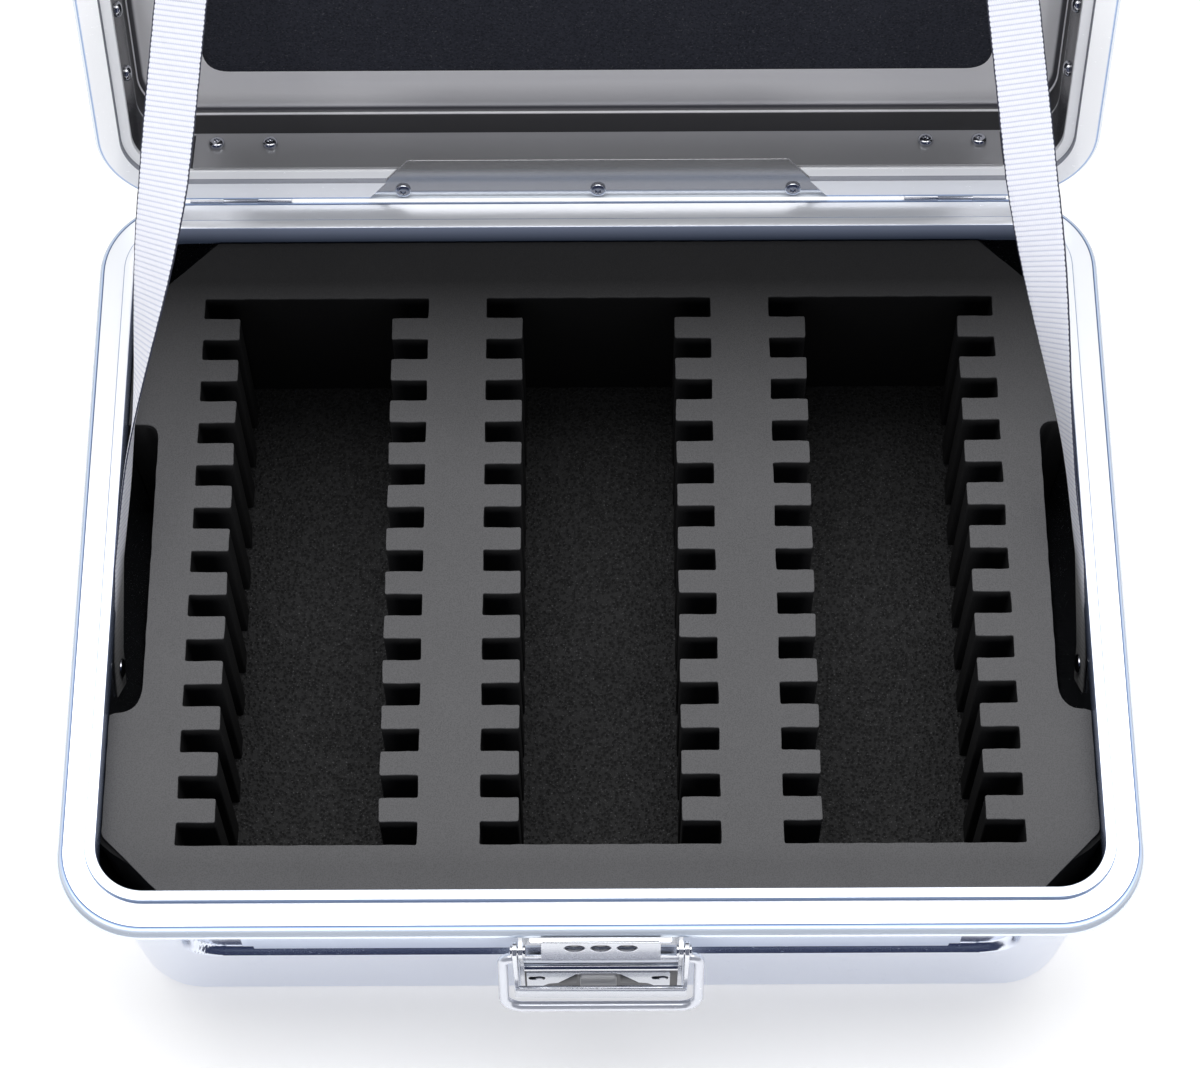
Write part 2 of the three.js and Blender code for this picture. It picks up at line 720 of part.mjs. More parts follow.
// A taut strap: it lies on the side wall at its foot, turns to face the front and ends flat on the lid's pad
function strap(side) {
  const rise = fit + strapThickness / 2;
  const head = strapOnPad(side, strapHeadReach, rise + strapThickness / 2);
  const way = head.clone().sub(new THREE.Vector3(head.x, strapFootY, strapFootZ)).normalize();
  const foot = strapOnWall(side, way, strapFlat);
  const middle = Array.from({ length: strapSteps + 1 }, (_, k) => foot.clone().lerp(head, k / strapSteps));
  const path = [strapOnWall(side, way, -strapTail), strapOnWall(side, way, 0), ...middle,
    strapOnPad(side, strapHeadReach + strapTail, rise), strapOnPad(side, strapHeadReach + 2 * strapTail, rise)];
  const wallNormal = new THREE.Vector3(side, 0, -draftShare);
  const loops = path.map((point, k) => {
    const along = path[Math.min(k + 1, path.length - 1)].clone().sub(path[Math.max(k - 1, 0)]).normalize();
    const share = THREE.MathUtils.smoothstep((k - 2) / strapSteps, strapTwistStartShare, strapTwistEndShare);
    const across = wallNormal.clone().cross(along).normalize().multiplyScalar(Math.cos(share * Math.PI / 2));
    across.x += side * Math.sin(share * Math.PI / 2);
    across.addScaledVector(along, -across.dot(along)).normalize();
    const face = along.clone().cross(across).normalize();
    return [[-1, -1], [1, -1], [1, 1], [-1, 1]].map(([u, v]) => point.clone()
      .addScaledVector(across, u * strapWidth / 2).addScaledVector(face, v * strapThickness / 2));
  });
  return skinOver(loops, false, true);
}

function strapFootRivet(side) {
  const seat = side * (halfWidth - innerInset(strapFootZ) - 3 * fit - strapThickness);
  return turnedAlongX(domeProfile(seat, strapRivetRadius, strapRivetHeight, -side), strapFootY, strapFootZ);
}

function strapHeadRivet(side) {
  return turnedAlongZ(domeProfile(padFaceZ - 3 * fit - strapThickness, strapRivetRadius, strapRivetHeight, -1),
    side * strapHeadX, axisY - strapHeadReach - strapTail);
}

function frontStrip() {
  const low = ledgeHeight + stripGap;
  const half = recessHalf - stripEndGap;
  const plate = box(-half, half, recessFloorY - fit - stripPlate, recessFloorY - fit, low, low + stripHeight);
  const notches = [-1, 1].map((side) => box(Math.min(side * (half - stripNotchWidth), side * (half + overrun)),
    Math.max(side * (half - stripNotchWidth), side * (half + overrun)),
    recessFloorY - 2 * overrun - stripPlate, recessFloorY + overrun, low - overrun, low + stripNotchHeight));
  return cutFrom(plate, ...notches);
}

function discPlaces() {
  return [-windowPitch, 0, windowPitch];
}

function cheekOutline() {
  const back = recessFloorY - 2 * fit - stripPlate;
  const skirtFoot = bandZ - skirtDepth - 3 * fit;
  const beadFoot = bandZ - beadDepth - 3 * fit;
  const clear = 3 * fit;
  const front = -halfDepth;
  const nose = [];
  for (let k = 0; k <= filletSteps; k++) {
    const turn = Math.PI / 2 + (k / filletSteps) * Math.PI / 2;
    nose.push([leverY + cheekNose * Math.cos(turn), leverZ + cheekNose * Math.sin(turn)]);
  }
  return [[back, bandZ - lowerPlateBottom], [back, skirtFoot], [front + skirtInset - clear, skirtFoot],
    [front + skirtTopInset - clear, beadFoot], [front - clear, beadFoot], [front - clear, leverZ + cheekNose],
    ...nose, [leverY - bailPivotOut, bailZ - bailPivotDrop / 2], [front - 2 * cheekPlate, bandZ - skirtDepth],
    [front - 2 * cheekPlate, bandZ - lowerPlateTop], [front, bandZ - lowerPlateBottom]];
}

function latchBase() {
  const back = recessFloorY - 2 * fit - stripPlate;
  const cheekOuter = leverWidth / 2 - leverPlate - fit * 2;
  const cheekInner = cheekOuter - cheekPlate;
  const cheeks = [-cheekOuter, cheekInner].map((x) => alongX(cheekOutline(), x, cheekPlate));
  const plate = box(-cheekOuter, cheekOuter, back - basePlate, back, bandZ - lowerPlateBottom,
    bandZ - skirtDepth - 3 * fit);
  const windowY = leverY + cheekPlate;
  const window = box(-windowHalf, windowHalf, windowY, windowY + windowPlate, bandZ - windowDrop, bandZ);
  const tabs = box(-cheekInner - overrun, cheekInner + overrun, windowY, windowY + windowPlate,
    bandZ - windowDrop, bandZ - windowDrop + windowTabHeight);
  const topHalf = leverWidth / 2 - windowTopMargin;
  const top = box(-topHalf, topHalf, windowY, -halfDepth - 3 * fit,
    bandZ - windowPlate, bandZ);
  const lowerY = -halfDepth - lowerPlateOut;
  const lower = box(-cheekInner - overrun, cheekInner + overrun, lowerY, lowerY + windowPlate,
    bandZ - lowerPlateBottom, bandZ - lowerPlateTop);
  const windows = discPlaces().map((x) => turnedAlongY([[windowY - overrun, 0], [windowY - overrun, windowRadius],
    [windowY + windowPlate + overrun, windowRadius], [windowY + windowPlate + overrun, 0]],
  x, bandZ - windowCentreDrop));
  const pivotHole = rodAlongX(-leverWidth, leverWidth, pivotRadius + fit, leverY, leverZ);
  const barHole = rodAlongX(-leverWidth, leverWidth, barRadius + fit, -halfDepth - barOut, bandZ - barDrop);
  const pinHoles = [-1, 1].map((side) => turnedAlongY([[lowerY - overrun, 0],
    [lowerY - overrun, guidePinRadius + fit], [lowerY + windowPlate + overrun, guidePinRadius + fit],
    [lowerY + windowPlate + overrun, 0]], side * guidePinX, catchCentreZ()));
  return cutFrom(joined(plate, ...cheeks, window, tabs, top, lower), ...windows, pivotHole, barHole, ...pinHoles);
}

function windowBacking() {
  const back = -halfDepth - 2 * fit;
  const half = windowHalf;
  const centre = bandZ - windowCentreDrop;
  const low = centre - backingHeight / 2;
  const plate = box(-half, half, back - backingPlate, back, low, low + backingHeight - fit);
  const discs = discPlaces().map((x) => turnedAlongY(domeProfile(back - backingPlate + fit, discRadius,
    discHeight + fit, -1), x, centre));
  return joined(plate, ...discs);
}

function crossBar() {
  const end = leverWidth / 2 - leverPlate - fit * 2;
  return rodAlongX(-end, end, barRadius, -halfDepth - barOut, bandZ - barDrop);
}

function leverPivot(side) {
  const inner = leverWidth / 2 - leverPlate - fit * 2 - cheekPlate - fit;
  const outer = leverWidth / 2 + fit;
  const profile = [[inner - pivotHeadHeight, 0], [inner - pivotHeadHeight, pivotHeadRadius], [inner, pivotHeadRadius],
    [inner, pivotRadius], [outer, pivotRadius], [outer, pivotHeadRadius], [outer + pivotHeadHeight, pivotHeadRadius],
    [outer + pivotHeadHeight, 0]];
  return turnedAlongX(profile.map(([x, r]) => [side * x, r]), leverY, leverZ);
}

// The lever: two flanges and the curved finger lip that joins them
function lever() {
  const half = leverWidth / 2;
  const outline = [];
  for (let k = 0; k <= roundSteps / 2; k++) {
    const turn = (k / (roundSteps / 2)) * Math.PI;
    outline.push([leverY + leverFlange / 2 * Math.cos(turn), leverZ + leverFlange / 2 * Math.sin(turn)]);
  }
  const lipTop = leverZ - leverLipDrop;
  const lipBottom = lipTop - leverLipHeight;
  outline.push([leverY - leverFlange / 2, lipTop], [leverY - leverLipOut, lipBottom],
    [leverY + leverFlange / 4, lipBottom], [leverY + leverFlange / 2, lipTop]);
  const flanges = [-half, half - leverPlate].map((x) => alongX(outline, x, leverPlate));
  const outer = [];
  const inner = [];
  for (let k = 0; k <= filletSteps; k++) {
    const share = k / filletSteps;
    const bulge = leverLipOut - leverFlange / 2 + leverLipPlate * Math.sin(share * Math.PI) / 2;
    const y = leverY - leverFlange / 2 - bulge * share;
    outer.push([y, lipTop - leverLipHeight * share]);
    inner.push([y + leverLipPlate, lipTop - leverLipHeight * share]);
  }
  const lip = alongX([...outer, ...inner.reverse()], -half, leverWidth);
  const bailHole = rodAlongX(-leverWidth, leverWidth, bailRodRadius + fit, bailY, bailZ);
  const pivotHole = rodAlongX(-leverWidth, leverWidth, pivotRadius + fit, leverY, leverZ);
  return cutFrom(joined(...flanges, lip), bailHole, pivotHole);
}

// The bail's centre line in its own plane: [across, down] points from one end to the other
function bailPath() {
  const half = leverWidth / 2 + bailGap;
  const reach = Math.hypot(bailReach, bailForward);
  const end = leverWidth / 2 - leverPlate + fit;
  const side = [[end, 0]];
  const arc = (cx, cy, radius, from, to) => {
    for (let k = 0; k <= filletSteps; k++) {
      const turn = from + (to - from) * k / filletSteps;
      side.push([cx + radius * Math.cos(turn), cy + radius * Math.sin(turn)]);
    }
  };
  arc(half - bailTopCorner, bailTopCorner, bailTopCorner, -Math.PI / 2, 0);
  arc(half - bailBottomCorner, reach - bailBottomCorner, bailBottomCorner, 0, Math.PI / 2);
  return [...side, ...side.map(([x, down]) => [-x, down]).reverse()];
}

function bail() {
  const lean = Math.atan2(bailForward, bailReach);
  const down = new THREE.Vector3(0, -Math.sin(lean), -Math.cos(lean));
  const across = new THREE.Vector3(1, 0, 0);
  const normal = across.clone().cross(down);
  const pivot = new THREE.Vector3(0, bailY, bailZ);
  const path = bailPath();
  const loops = path.map((point, k) => {
    const before = path[Math.max(k - 1, 0)];
    const after = path[Math.min(k + 1, path.length - 1)];
    const tangent = across.clone().multiplyScalar(after[0] - before[0])
      .addScaledVector(down, after[1] - before[1]).normalize();
    const side = tangent.clone().cross(normal).normalize();
    const centre = pivot.clone().addScaledVector(across, point[0]).addScaledVector(down, point[1]);
    return Array.from({ length: rodSides }, (_, i) => {
      const turn = (i / rodSides) * Math.PI * 2;
      return centre.clone().addScaledVector(side, bailRodRadius * Math.cos(turn))
        .addScaledVector(normal, bailRodRadius * Math.sin(turn));
    });
  });
  return skinOver(loops);
}

function catchCentreZ() {
  return bandZ - lowerPlateTop - catchHeight / 3;
}

function safetyCatch() {
  const back = -halfDepth - lowerPlateOut - fit;
  const front = back - catchPlate;
  const top = bandZ - lowerPlateTop;
  const plate = box(-catchHalf, catchHalf, front, back, top - catchHeight, top);
  const tab = box(-catchTabWidth / 2, catchTabWidth / 2, front - catchTabOut, front + catchPlate / 2,
    top - catchTabHeight, top);
  const wedges = [-1, 1].map((side) => {
    const start = catchTabWidth / 2 + 2 * catchSlit;
    const shape = new THREE.Shape([[side * start, top], [side * start, top - catchTabHeight],
      [side * (guidePinX - guideSlotWidth), top]].map(([x, z]) => new THREE.Vector2(x, z)));
    return alongY(shape, front - catchTabOut / 2, catchPlate);
  });
  const slits = [-1, 1].map((side) => {
    const x = side * (catchTabWidth / 2 + catchSlit);
    return box(x - catchSlit / 2, x + catchSlit / 2, front - overrun, back + overrun, top - catchTabHeight,
      top + overrun);
  });
  const slots = [-1, 1].map((side) => alongY(rectangle(side * guidePinX - guideSlotWidth / 2,
    side * guidePinX + guideSlotWidth / 2, catchCentreZ() - guideSlotHeight / 2,
    catchCentreZ() + guideSlotHeight / 2, guideSlotHeight / 2 - fit / 2), front - overrun, catchPlate + 2 * overrun));
  return cutFrom(joined(plate, tab, ...wedges), ...slits, ...slots).translate(-catchTravel / 2, 0, 0);
}

function guidePin(side) {
  const front = -halfDepth - lowerPlateOut - catchPlate - 3 * fit;
  return turnedAlongY([[front, 0], [front, guidePinRadius], [-halfDepth - lowerPlateOut + windowPlate, guidePinRadius],
    [-halfDepth - lowerPlateOut + windowPlate, 0]], side * guidePinX, catchCentreZ());
}

// The bail's bar sits in this hook when the case is shut
function lidKeeper() {
  const barY = bailY + bailForward;
  const barZ = bailZ + bailReach;
  const wallY = -halfDepth + lidWallInset - fit;
  const seatZ = barZ - bailRodRadius - fit;
  const noseY = barY - bailRodRadius - fit;
  const low = seatZ - keeperPlate;
  const outline = [[wallY, low], [wallY, low + keeperHeight], [wallY - keeperPlate, low + keeperHeight],
    [wallY - keeperPlate, seatZ], [noseY, seatZ], [noseY, low + keeperNose + keeperPlate],
    [noseY - keeperPlate, low + keeperNose], [noseY - keeperPlate, low + keeperPlate / 2],
    [noseY - keeperPlate / 2, low]];
  return alongX(outline, -keeperWidth / 2, keeperWidth);
}

function keeperRivet(side) {
  const seat = -halfDepth + lidWallInset - 2 * fit - keeperPlate;
  const z = bailZ + bailReach + keeperHeight / 3;
  return turnedAlongY(domeProfile(seat, rivetRadius * keeperHeadShare, rivetHeight * keeperHeadHeightShare, -1), side * keeperRivetX, z);
}

function named(name, geometry, colour, metalness, roughness) {
  const material = new THREE.MeshStandardMaterial({ color: colour, metalness, roughness });
  const mesh = new THREE.Mesh(geometry, material);
  mesh.name = name;
  return mesh;
}

const polished = (name, geometry) => named(name, geometry, colours.metal, 1, 0.25);
const steel = (name, geometry) => named(name, geometry, colours.steel, 1, 0.2);
const soft = (name, geometry, colour) => named(name, geometry, colour, 0, 0.95);
const sides = [["left", -1], ["right", 1]];

function bodyPieces() {
  const group = new THREE.Group();
  group.add(polished("body_shell", bodyShell()), polished("body_rim", bodyRim()));
  group.add(soft("foam_insert", foamInsert(), colours.foam), soft("foam_base", foamBase(), colours.dark));
  for (const [name, side] of sides) {
    group.add(soft(`strap_${name}`, strap(side), colours.webbing));
    group.add(steel(`strap_foot_rivet_${name}`, strapFootRivet(side)));
    group.add(steel(`body_hinge_leaf_${name}`, bodyLeaf(side * hingeX)));
    group.add(steel(`hinge_pin_${name}`, rodAlongX(side * hingeX - hingeLength / 2, side * hingeX + hingeLength / 2,
      pinRadius, axisY, axisZ, roundSteps / 2)));
  }
  return group;
}

function latchPieces() {
  const group = new THREE.Group();
  group.add(polished("front_strip", frontStrip()), polished("latch_base", latchBase()));
  group.add(named("window_backing", windowBacking(), colours.dark, 0.3, 0.5));
  group.add(steel("cross_bar", crossBar()), polished("lever", lever()), steel("bail", bail()));
  group.add(polished("safety_catch", safetyCatch()));
  for (const [name, side] of sides) {
    group.add(steel(`lever_pivot_${name}`, leverPivot(side)), steel(`guide_pin_${name}`, guidePin(side)));
  }
  return group;
}

// The lid is drawn shut and turned open about the hinge pins
function lidPieces() {
  const shut = new THREE.Group();
  shut.position.set(0, -axisY, -axisZ);
  shut.add(polished("lid_shell", lidShell()), polished("lid_rim", lidRim()));
  shut.add(soft("lid_pad", lidPad(), colours.pad));
  shut.add(named("hinge_strip", hingeStrip(), colours.plate, 1, 0.35));
  shut.add(named("hinge_cover", hingeCover(), colours.plate, 1, 0.15));
  stripScrewPlaces().forEach((x, k) => shut.add(steel(`strip_screw_${k + 1}`, stripScrew(x))));
  coverPlaces().forEach((x, k) => shut.add(steel(`cover_screw_${k + 1}`, coverScrew(x))));
  shut.add(steel("lid_keeper", lidKeeper()));
  for (const [name, side] of sides) {
    shut.add(steel(`lid_hinge_leaf_${name}`, lidLeaf(side * hingeX)));
    shut.add(steel(`strap_head_rivet_${name}`, strapHeadRivet(side)));
    shut.add(steel(`keeper_rivet_${name}`, keeperRivet(side)));
    for (let k = 0; k < rivetsPerSide; k++) {
      const y = (k - (rivetsPerSide - 1) / 2) * rivetPitch;
      shut.add(steel(`lid_rivet_${name}_${k + 1}`, lidRivet(side, y)));
    }
  }
  const open = new THREE.Group();
  open.add(shut);
  open.rotation.x = openTurn;
  open.position.set(0, axisY, axisZ);
  return open;
}

const knifeCase = new THREE.Group();
knifeCase.add(bodyPieces(), latchPieces(), lidPieces());

export default knifeCase;
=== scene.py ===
"""Dresses the hard chef knife case: polished pressed metal, slotted foam, webbing straps and a draw latch."""

import logging
import math
from dataclasses import dataclass
from enum import Enum
from typing import Sequence

import bmesh
import bpy
import numpy as np
from mathutils import Matrix, Vector


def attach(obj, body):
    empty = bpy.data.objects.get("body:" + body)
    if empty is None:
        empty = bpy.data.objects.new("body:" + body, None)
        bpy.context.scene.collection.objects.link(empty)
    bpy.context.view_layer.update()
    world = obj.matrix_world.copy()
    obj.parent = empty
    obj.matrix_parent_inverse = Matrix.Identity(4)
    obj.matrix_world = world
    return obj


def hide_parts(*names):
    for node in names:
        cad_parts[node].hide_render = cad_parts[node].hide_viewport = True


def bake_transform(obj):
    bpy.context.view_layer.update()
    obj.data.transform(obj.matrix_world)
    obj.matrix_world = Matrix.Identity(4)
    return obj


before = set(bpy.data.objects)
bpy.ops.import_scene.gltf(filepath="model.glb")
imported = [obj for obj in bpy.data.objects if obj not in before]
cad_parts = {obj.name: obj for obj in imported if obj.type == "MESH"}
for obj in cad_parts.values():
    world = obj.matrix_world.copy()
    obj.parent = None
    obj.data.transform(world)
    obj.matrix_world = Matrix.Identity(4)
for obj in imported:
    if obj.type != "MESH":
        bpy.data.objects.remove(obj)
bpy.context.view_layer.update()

LOG = logging.getLogger("knife_case")
MM = 0.001
CASE = "case"
LID = "lid"
LEVER = "lever_body"
BAIL = "bail_body"
CATCH = "catch_body"
Points = np.ndarray
# points in millimetres, and the vertex numbers of each face
Solid = tuple[np.ndarray, list[list[int]]]
Colour = tuple[float, float, float]
Mesh = bpy.types.Mesh
Node = bpy.types.Node
NodeTree = bpy.types.ShaderNodeTree
Piece = bpy.types.Object
Socket = bpy.types.NodeSocket


class Side(Enum):
    """The two sides of the case, as seen from the front."""

    LEFT = -1
    RIGHT = 1

    @property
    def word(self) -> str:
        """The side's name as it stands in node names."""
        return self.name.lower()


@dataclass(frozen=True)
class CaseSizes:
    """The driving sizes of the case in millimetres, the same as the solid model's."""

    width: float = 584.0
    depth: float = 457.0
    band_z: float = 167.0
    lid_band_z: float = 167.4
    lid_top_z: float = 227.4
    corner: float = 48.0
    flange_top_z: float = 152.4
    body_wall_inset: float = 15.0
    lid_wall_inset: float = 17.0
    draft: float = 0.052
    lid_draft: float = 0.026
    axis_y: float = 228.0
    axis_z: float = 167.2
    open_angle: float = 104.4
    foam_top: float = 155.0
    foam_floor: float = 44.4

    @property
    def half_width(self) -> float:
        """Half of the rim's width."""
        return self.width / 2

    @property
    def half_depth(self) -> float:
        """Half of the rim's depth."""
        return self.depth / 2

    def inner_inset(self, z: float) -> float:
        """The body's inner wall at a height: the top inset plus the draft times the drop."""
        return self.body_wall_inset + 2.0 + self.draft * (self.flange_top_z - z)

    def opened(self, points: Points) -> Points:
        """Turns points of the shut lid about the hinge pins to where the open lid has them.

        The turn is a rotation about X through the pins: y and z offsets are mixed by the cosine and sine.

        Args:
            points: millimetre points of the shut lid, any shape that ends in 3.

        Returns:
            The same points on the open lid.
        """
        turn = math.radians(-self.open_angle)
        c, s = math.cos(turn), math.sin(turn)
        y = points[..., 1] - self.axis_y
        z = points[..., 2] - self.axis_z
        return np.stack([points[..., 0], self.axis_y + c * y - s * z, self.axis_z + s * y + c * z], axis=-1)


SIZES = CaseSizes()


def lifted(solid: Solid) -> Solid:
    """Moves a solid made for the shut lid to where the open lid has it.

    Args:
        solid: the solid on the shut lid.

    Returns:
        The solid on the open lid.
    """
    points, faces = solid
    return SIZES.opened(points), faces


# Mesh making

# a corner is cut back by at most this share of its shorter edge
CUT_SHARE = 0.45
# divisions of each quarter circle of the case's outline, and of each of its sides
CORNER_STEPS = 20
SIDE_STEPS = 14
# how far in front of the middle the front's own inset starts, and over what length it grows whole
FRONT_FADE = (40.0, 100.0)


def surface(name: str, solid: Solid, body: str | None, finish: "Finish", sharp: float = 50.0,
            replaces: Sequence[str] = (), uv: Points | None = None) -> Piece:
    """Puts a worked-out surface into the scene as one piece.

    Args:
        name: the piece's name.
        solid: its points in millimetres and its faces.
        body: the CAD body that it rides on.
        finish: the finish that dresses it.
        sharp: the angle in degrees past which an edge is drawn sharp.
        replaces: the CAD nodes that it stands for.
        uv: one pair per vertex for a pattern that follows the surface.

    Returns:
        The new object.
    """
    points, faces = solid
    mesh = bpy.data.meshes.new(name)
    mesh.from_pydata((points.reshape(-1, 3) * MM).tolist(), [], [list(map(int, face)) for face in faces])
    mesh.validate()
    if uv is not None:
        layer = mesh.uv_layers.new(name="along")
        loops = np.empty(len(mesh.loops), dtype=np.int32)
        mesh.loops.foreach_get("vertex_index", loops)
        layer.data.foreach_set("uv", np.asarray(uv, dtype=np.float32)[loops].ravel())
    return place(name, mesh, body, finish, sharp, replaces)


def place(name: str, mesh: Mesh, body: str | None, finish: "Finish", sharp: float = 50.0,
          replaces: Sequence[str] = ()) -> Piece:
    """Links a finished mesh, turns its faces outwards, smooths it and lets it ride on its body.

    Args:
        name: the piece's name.
        mesh: the mesh in metres.
        body: the CAD body that it rides on, or None for a piece that spans two bodies and is left on neither.
        finish: the finish that dresses it.
        sharp: the angle in degrees past which an edge is drawn sharp.
        replaces: the CAD nodes that it stands for.

    Returns:
        The new object.
    """
    work = bmesh.new()
    work.from_mesh(mesh)
    if work.calc_volume(signed=True) < 0:
        bmesh.ops.reverse_faces(work, faces=work.faces[:])
    work.to_mesh(mesh)
    work.free()
    mesh.shade_smooth()
    mesh.set_sharp_from_angle(angle=math.radians(sharp))
    piece = bpy.data.objects.new(name, mesh)
    bpy.context.scene.collection.objects.link(piece)
    mesh.materials.append(finish.material())
    if body is not None:
        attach(piece, body)
    if replaces:
        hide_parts(*replaces)
    LOG.info("%s: %d faces on %s", name, len(mesh.polygons), body)
    return piece


def grid_faces(rows: int, columns: int, ring_rows: bool) -> Points:
    """Quads of a grid of vertices numbered row by row, whose last column joins the first.

    Args:
        rows: how many rows.
        columns: how many columns.
        ring_rows: whether the last row joins the first.

    Returns:
        An array of quads.
    """
    row = np.arange(rows if ring_rows else rows - 1)[:, None]
    column = np.arange(columns)[None, :]
    next_row = (row + 1) % rows
    next_column = (column + 1) % columns
    quads = np.stack([row * columns + column, row * columns + next_column,
                      next_row * columns + next_column, next_row * columns + column], axis=-1)
    return quads.reshape(-1, 4)


def capped(rows: Points) -> Solid:
    """A grid of closed rows, with one flat face over each end.

    Args:
        rows: points, rows by columns by 3.

    Returns:
        The solid.
    """
    count, columns = rows.shape[:2]
    faces = grid_faces(count, columns, False).tolist()
    faces.append(list(range(columns))[::-1])
    faces.append(list(range((count - 1) * columns, count * columns)))
    return rows.reshape(-1, 3), faces


def joined(parts: Sequence[Solid]) -> Solid:
    """Several closed surfaces as the shells of one mesh.

    Args:
        parts: the surfaces.

    Returns:
        All of them as one solid.
    """
    faces: list[list[int]] = []
    start = 0
    for points, part_faces in parts:
        faces.extend([[int(v) + start for v in face] for face in part_faces])
        start += len(points)
    return np.concatenate([np.asarray(p).reshape(-1, 3) for p, _ in parts]), faces


def bent(start: Points, corner: Points, end: Points, steps: int) -> Points:
    """Quadratic curves that leave their starts and reach their ends along the way to a corner.

    Args:
        start: where each curve starts.
        corner: its middle control point.
        end: where it ends.
        steps: divisions of each curve.

    Returns:
        The curves' points.
    """
    t = np.linspace(0, 1, steps + 1)[:, None]
    return (1 - t) ** 2 * start + 2 * t * (1 - t) * corner + t ** 2 * end


def rounded(points: Points, radius: float, steps: int = 3, closed: bool = True) -> Points:
    """Rounds the corners of a flat outline.

    Each corner is cut back along both of its edges by the radius, or by a share of the shorter edge, and
    the cut ends are joined by a quadratic curve that has the corner as its middle control point.

    Args:
        points: the outline, N by 2.
        radius: how far back the corners are cut.
        steps: curve steps at each corner.
        closed: whether the last point joins the first.

    Returns:
        The rounded outline.
    """
    points = np.asarray(points, dtype=float)
    before = np.roll(points, 1, axis=0) - points
    after = np.roll(points, -1, axis=0) - points
    if not closed:
        before[0] = 0
        after[-1] = 0
    length_before = np.linalg.norm(before, axis=1, keepdims=True)
    length_after = np.linalg.norm(after, axis=1, keepdims=True)
    shorter = np.minimum(np.where(length_before > 0, length_before, np.inf),
                         np.where(length_after > 0, length_after, np.inf))
    cut = np.minimum(radius, CUT_SHARE * shorter)
    start = points + before / np.maximum(length_before, 1e-9) * cut
    end = points + after / np.maximum(length_after, 1e-9) * cut
    return bent(start[:, None], points[:, None], end[:, None], steps).reshape(-1, 2)


def perimeter(inset: Points, radius: Points, side_x: Points | None = None,
              front: Points | None = None) -> Points:
    """Rounded rectangles set in from the case's outline, all with matching points.

    Each corner is a quarter circle, and each side is divided evenly, with one more point close to each
    corner that keeps the flat side's shading flat.

    Args:
        inset: distance in from the rim's outer edge, one for each row.
        radius: corner radius, one for each row.
        side_x: places along X for the front and rear sides, instead of an even division.
        front: how much further in each row lies along the front.

    Returns:
        Points, rows by columns by 2.
    """
    inset = np.asarray(inset, dtype=float)[:, None]
    radius = np.maximum(np.asarray(radius, dtype=float)[:, None], 0.01)
    centre_x = SIZES.half_width - inset - radius
    centre_y = SIZES.half_depth - inset - radius
    turn = np.linspace(0, math.pi / 2, CORNER_STEPS + 1)[None, :]
    shares = np.concatenate([[0.006], np.linspace(0.05, 0.95, SIDE_STEPS), [0.994]])[None, :]
    columns = []
    signs = [(1, 1), (-1, 1), (-1, -1), (1, -1)]
    for quarter, (sx, sy) in enumerate(signs):
        angle = turn + quarter * math.pi / 2
        columns.append(np.stack([sx * centre_x + radius * np.cos(angle),
                                 sy * centre_y + radius * np.sin(angle)], axis=-1))
        nx, ny = signs[(quarter + 1) % 4]
        start = columns[-1][:, -1]
        end_angle = (quarter + 1) * math.pi / 2
        end = np.concatenate([nx * centre_x + radius * math.cos(end_angle),
                              ny * centre_y + radius * math.sin(end_angle)], axis=-1)
        if side_x is not None and sy == ny:
            fit = np.minimum((centre_x - 0.3) / side_x.max(), 1.0)
            x = side_x[None, :] * fit * -sy
            columns.append(np.stack([x, np.broadcast_to(start[:, 1:2], x.shape)], axis=-1))
        else:
            columns.append(start[:, None] + (end - start)[:, None] * shares[..., None])
    flat = np.concatenate(columns, axis=1)
    if front is not None:
        share = np.clip((-flat[..., 1] - FRONT_FADE[0]) / FRONT_FADE[1], 0, 1)
        flat[..., 1] += share * np.asarray(front, dtype=float)[:, None]
    return flat


def raised(flat: Points, heights: Points) -> Points:
    """Rows of flat points, each row at its own height."""
    z = np.broadcast_to(heights[:, None, None], flat.shape[:2] + (1,))
    return np.concatenate([flat, z], axis=-1)


def around(section: Points, side_x: Points) -> Points:
    """A section of [inset, z, front] points carried round the case, with corners that stay concentric.

    Args:
        section: the section, N by 3, with how much further in each point lies along the front.
        side_x: places along X for the front and rear sides.

    Returns:
        Points, N by columns by 3.
    """
    inset, z, front = section.T
    return raised(perimeter(inset, SIZES.corner - inset, side_x, front), z)


def turned(profile: Points, centre: Sequence[float], axis: Sequence[float], steps: int = 32) -> Solid:
    """A turned piece: [along, radius] points spun about an axis, with a flat face over each end.

    Args:
        profile: the profile from one end to the other, N by 2, with radii above zero.
        centre: the point that along zero means.
        axis: the axis's direction.
        steps: how many sides a turn has.

    Returns:
        The solid.
    """
    way = np.asarray(axis, dtype=float) / np.linalg.norm(axis)
    helper = np.array([0.0, 0.0, 1.0]) if abs(way[2]) < 0.9 else np.array([1.0, 0.0, 0.0])
    u = np.cross(way, helper)
    u /= np.linalg.norm(u)
    v = np.cross(way, u)
    turn = np.linspace(0, 2 * math.pi, steps, endpoint=False)
    rim = np.cos(turn)[:, None] * u + np.sin(turn)[:, None] * v
    profile = np.asarray(profile, dtype=float)
    rows = np.asarray(centre) + profile[:, 0, None, None] * way + profile[:, 1, None, None] * rim[None]
    return capped(rows)


def edge_arcs(low: float, high: float, edge: float, steps: int = 3) -> tuple[Points, Points]:
    """The rounded edges of a plate: a quarter circle from one face to the side, and one to the other face.

    Args:
        low: where the plate starts along its thickness.
        high: where it ends.
        edge: the edges' radius.
        steps: steps of each quarter circle.

    Returns:
        How far in each ring lies, and its height.
    """
    turn = np.linspace(0, math.pi / 2, steps + 1)
    inward = np.concatenate([edge * (1 - np.sin(turn)), edge * (1 - np.cos(turn))])
    height = np.concatenate([low + edge * (1 - np.cos(turn)), high - edge * (1 - np.sin(turn))])
    return inward, height


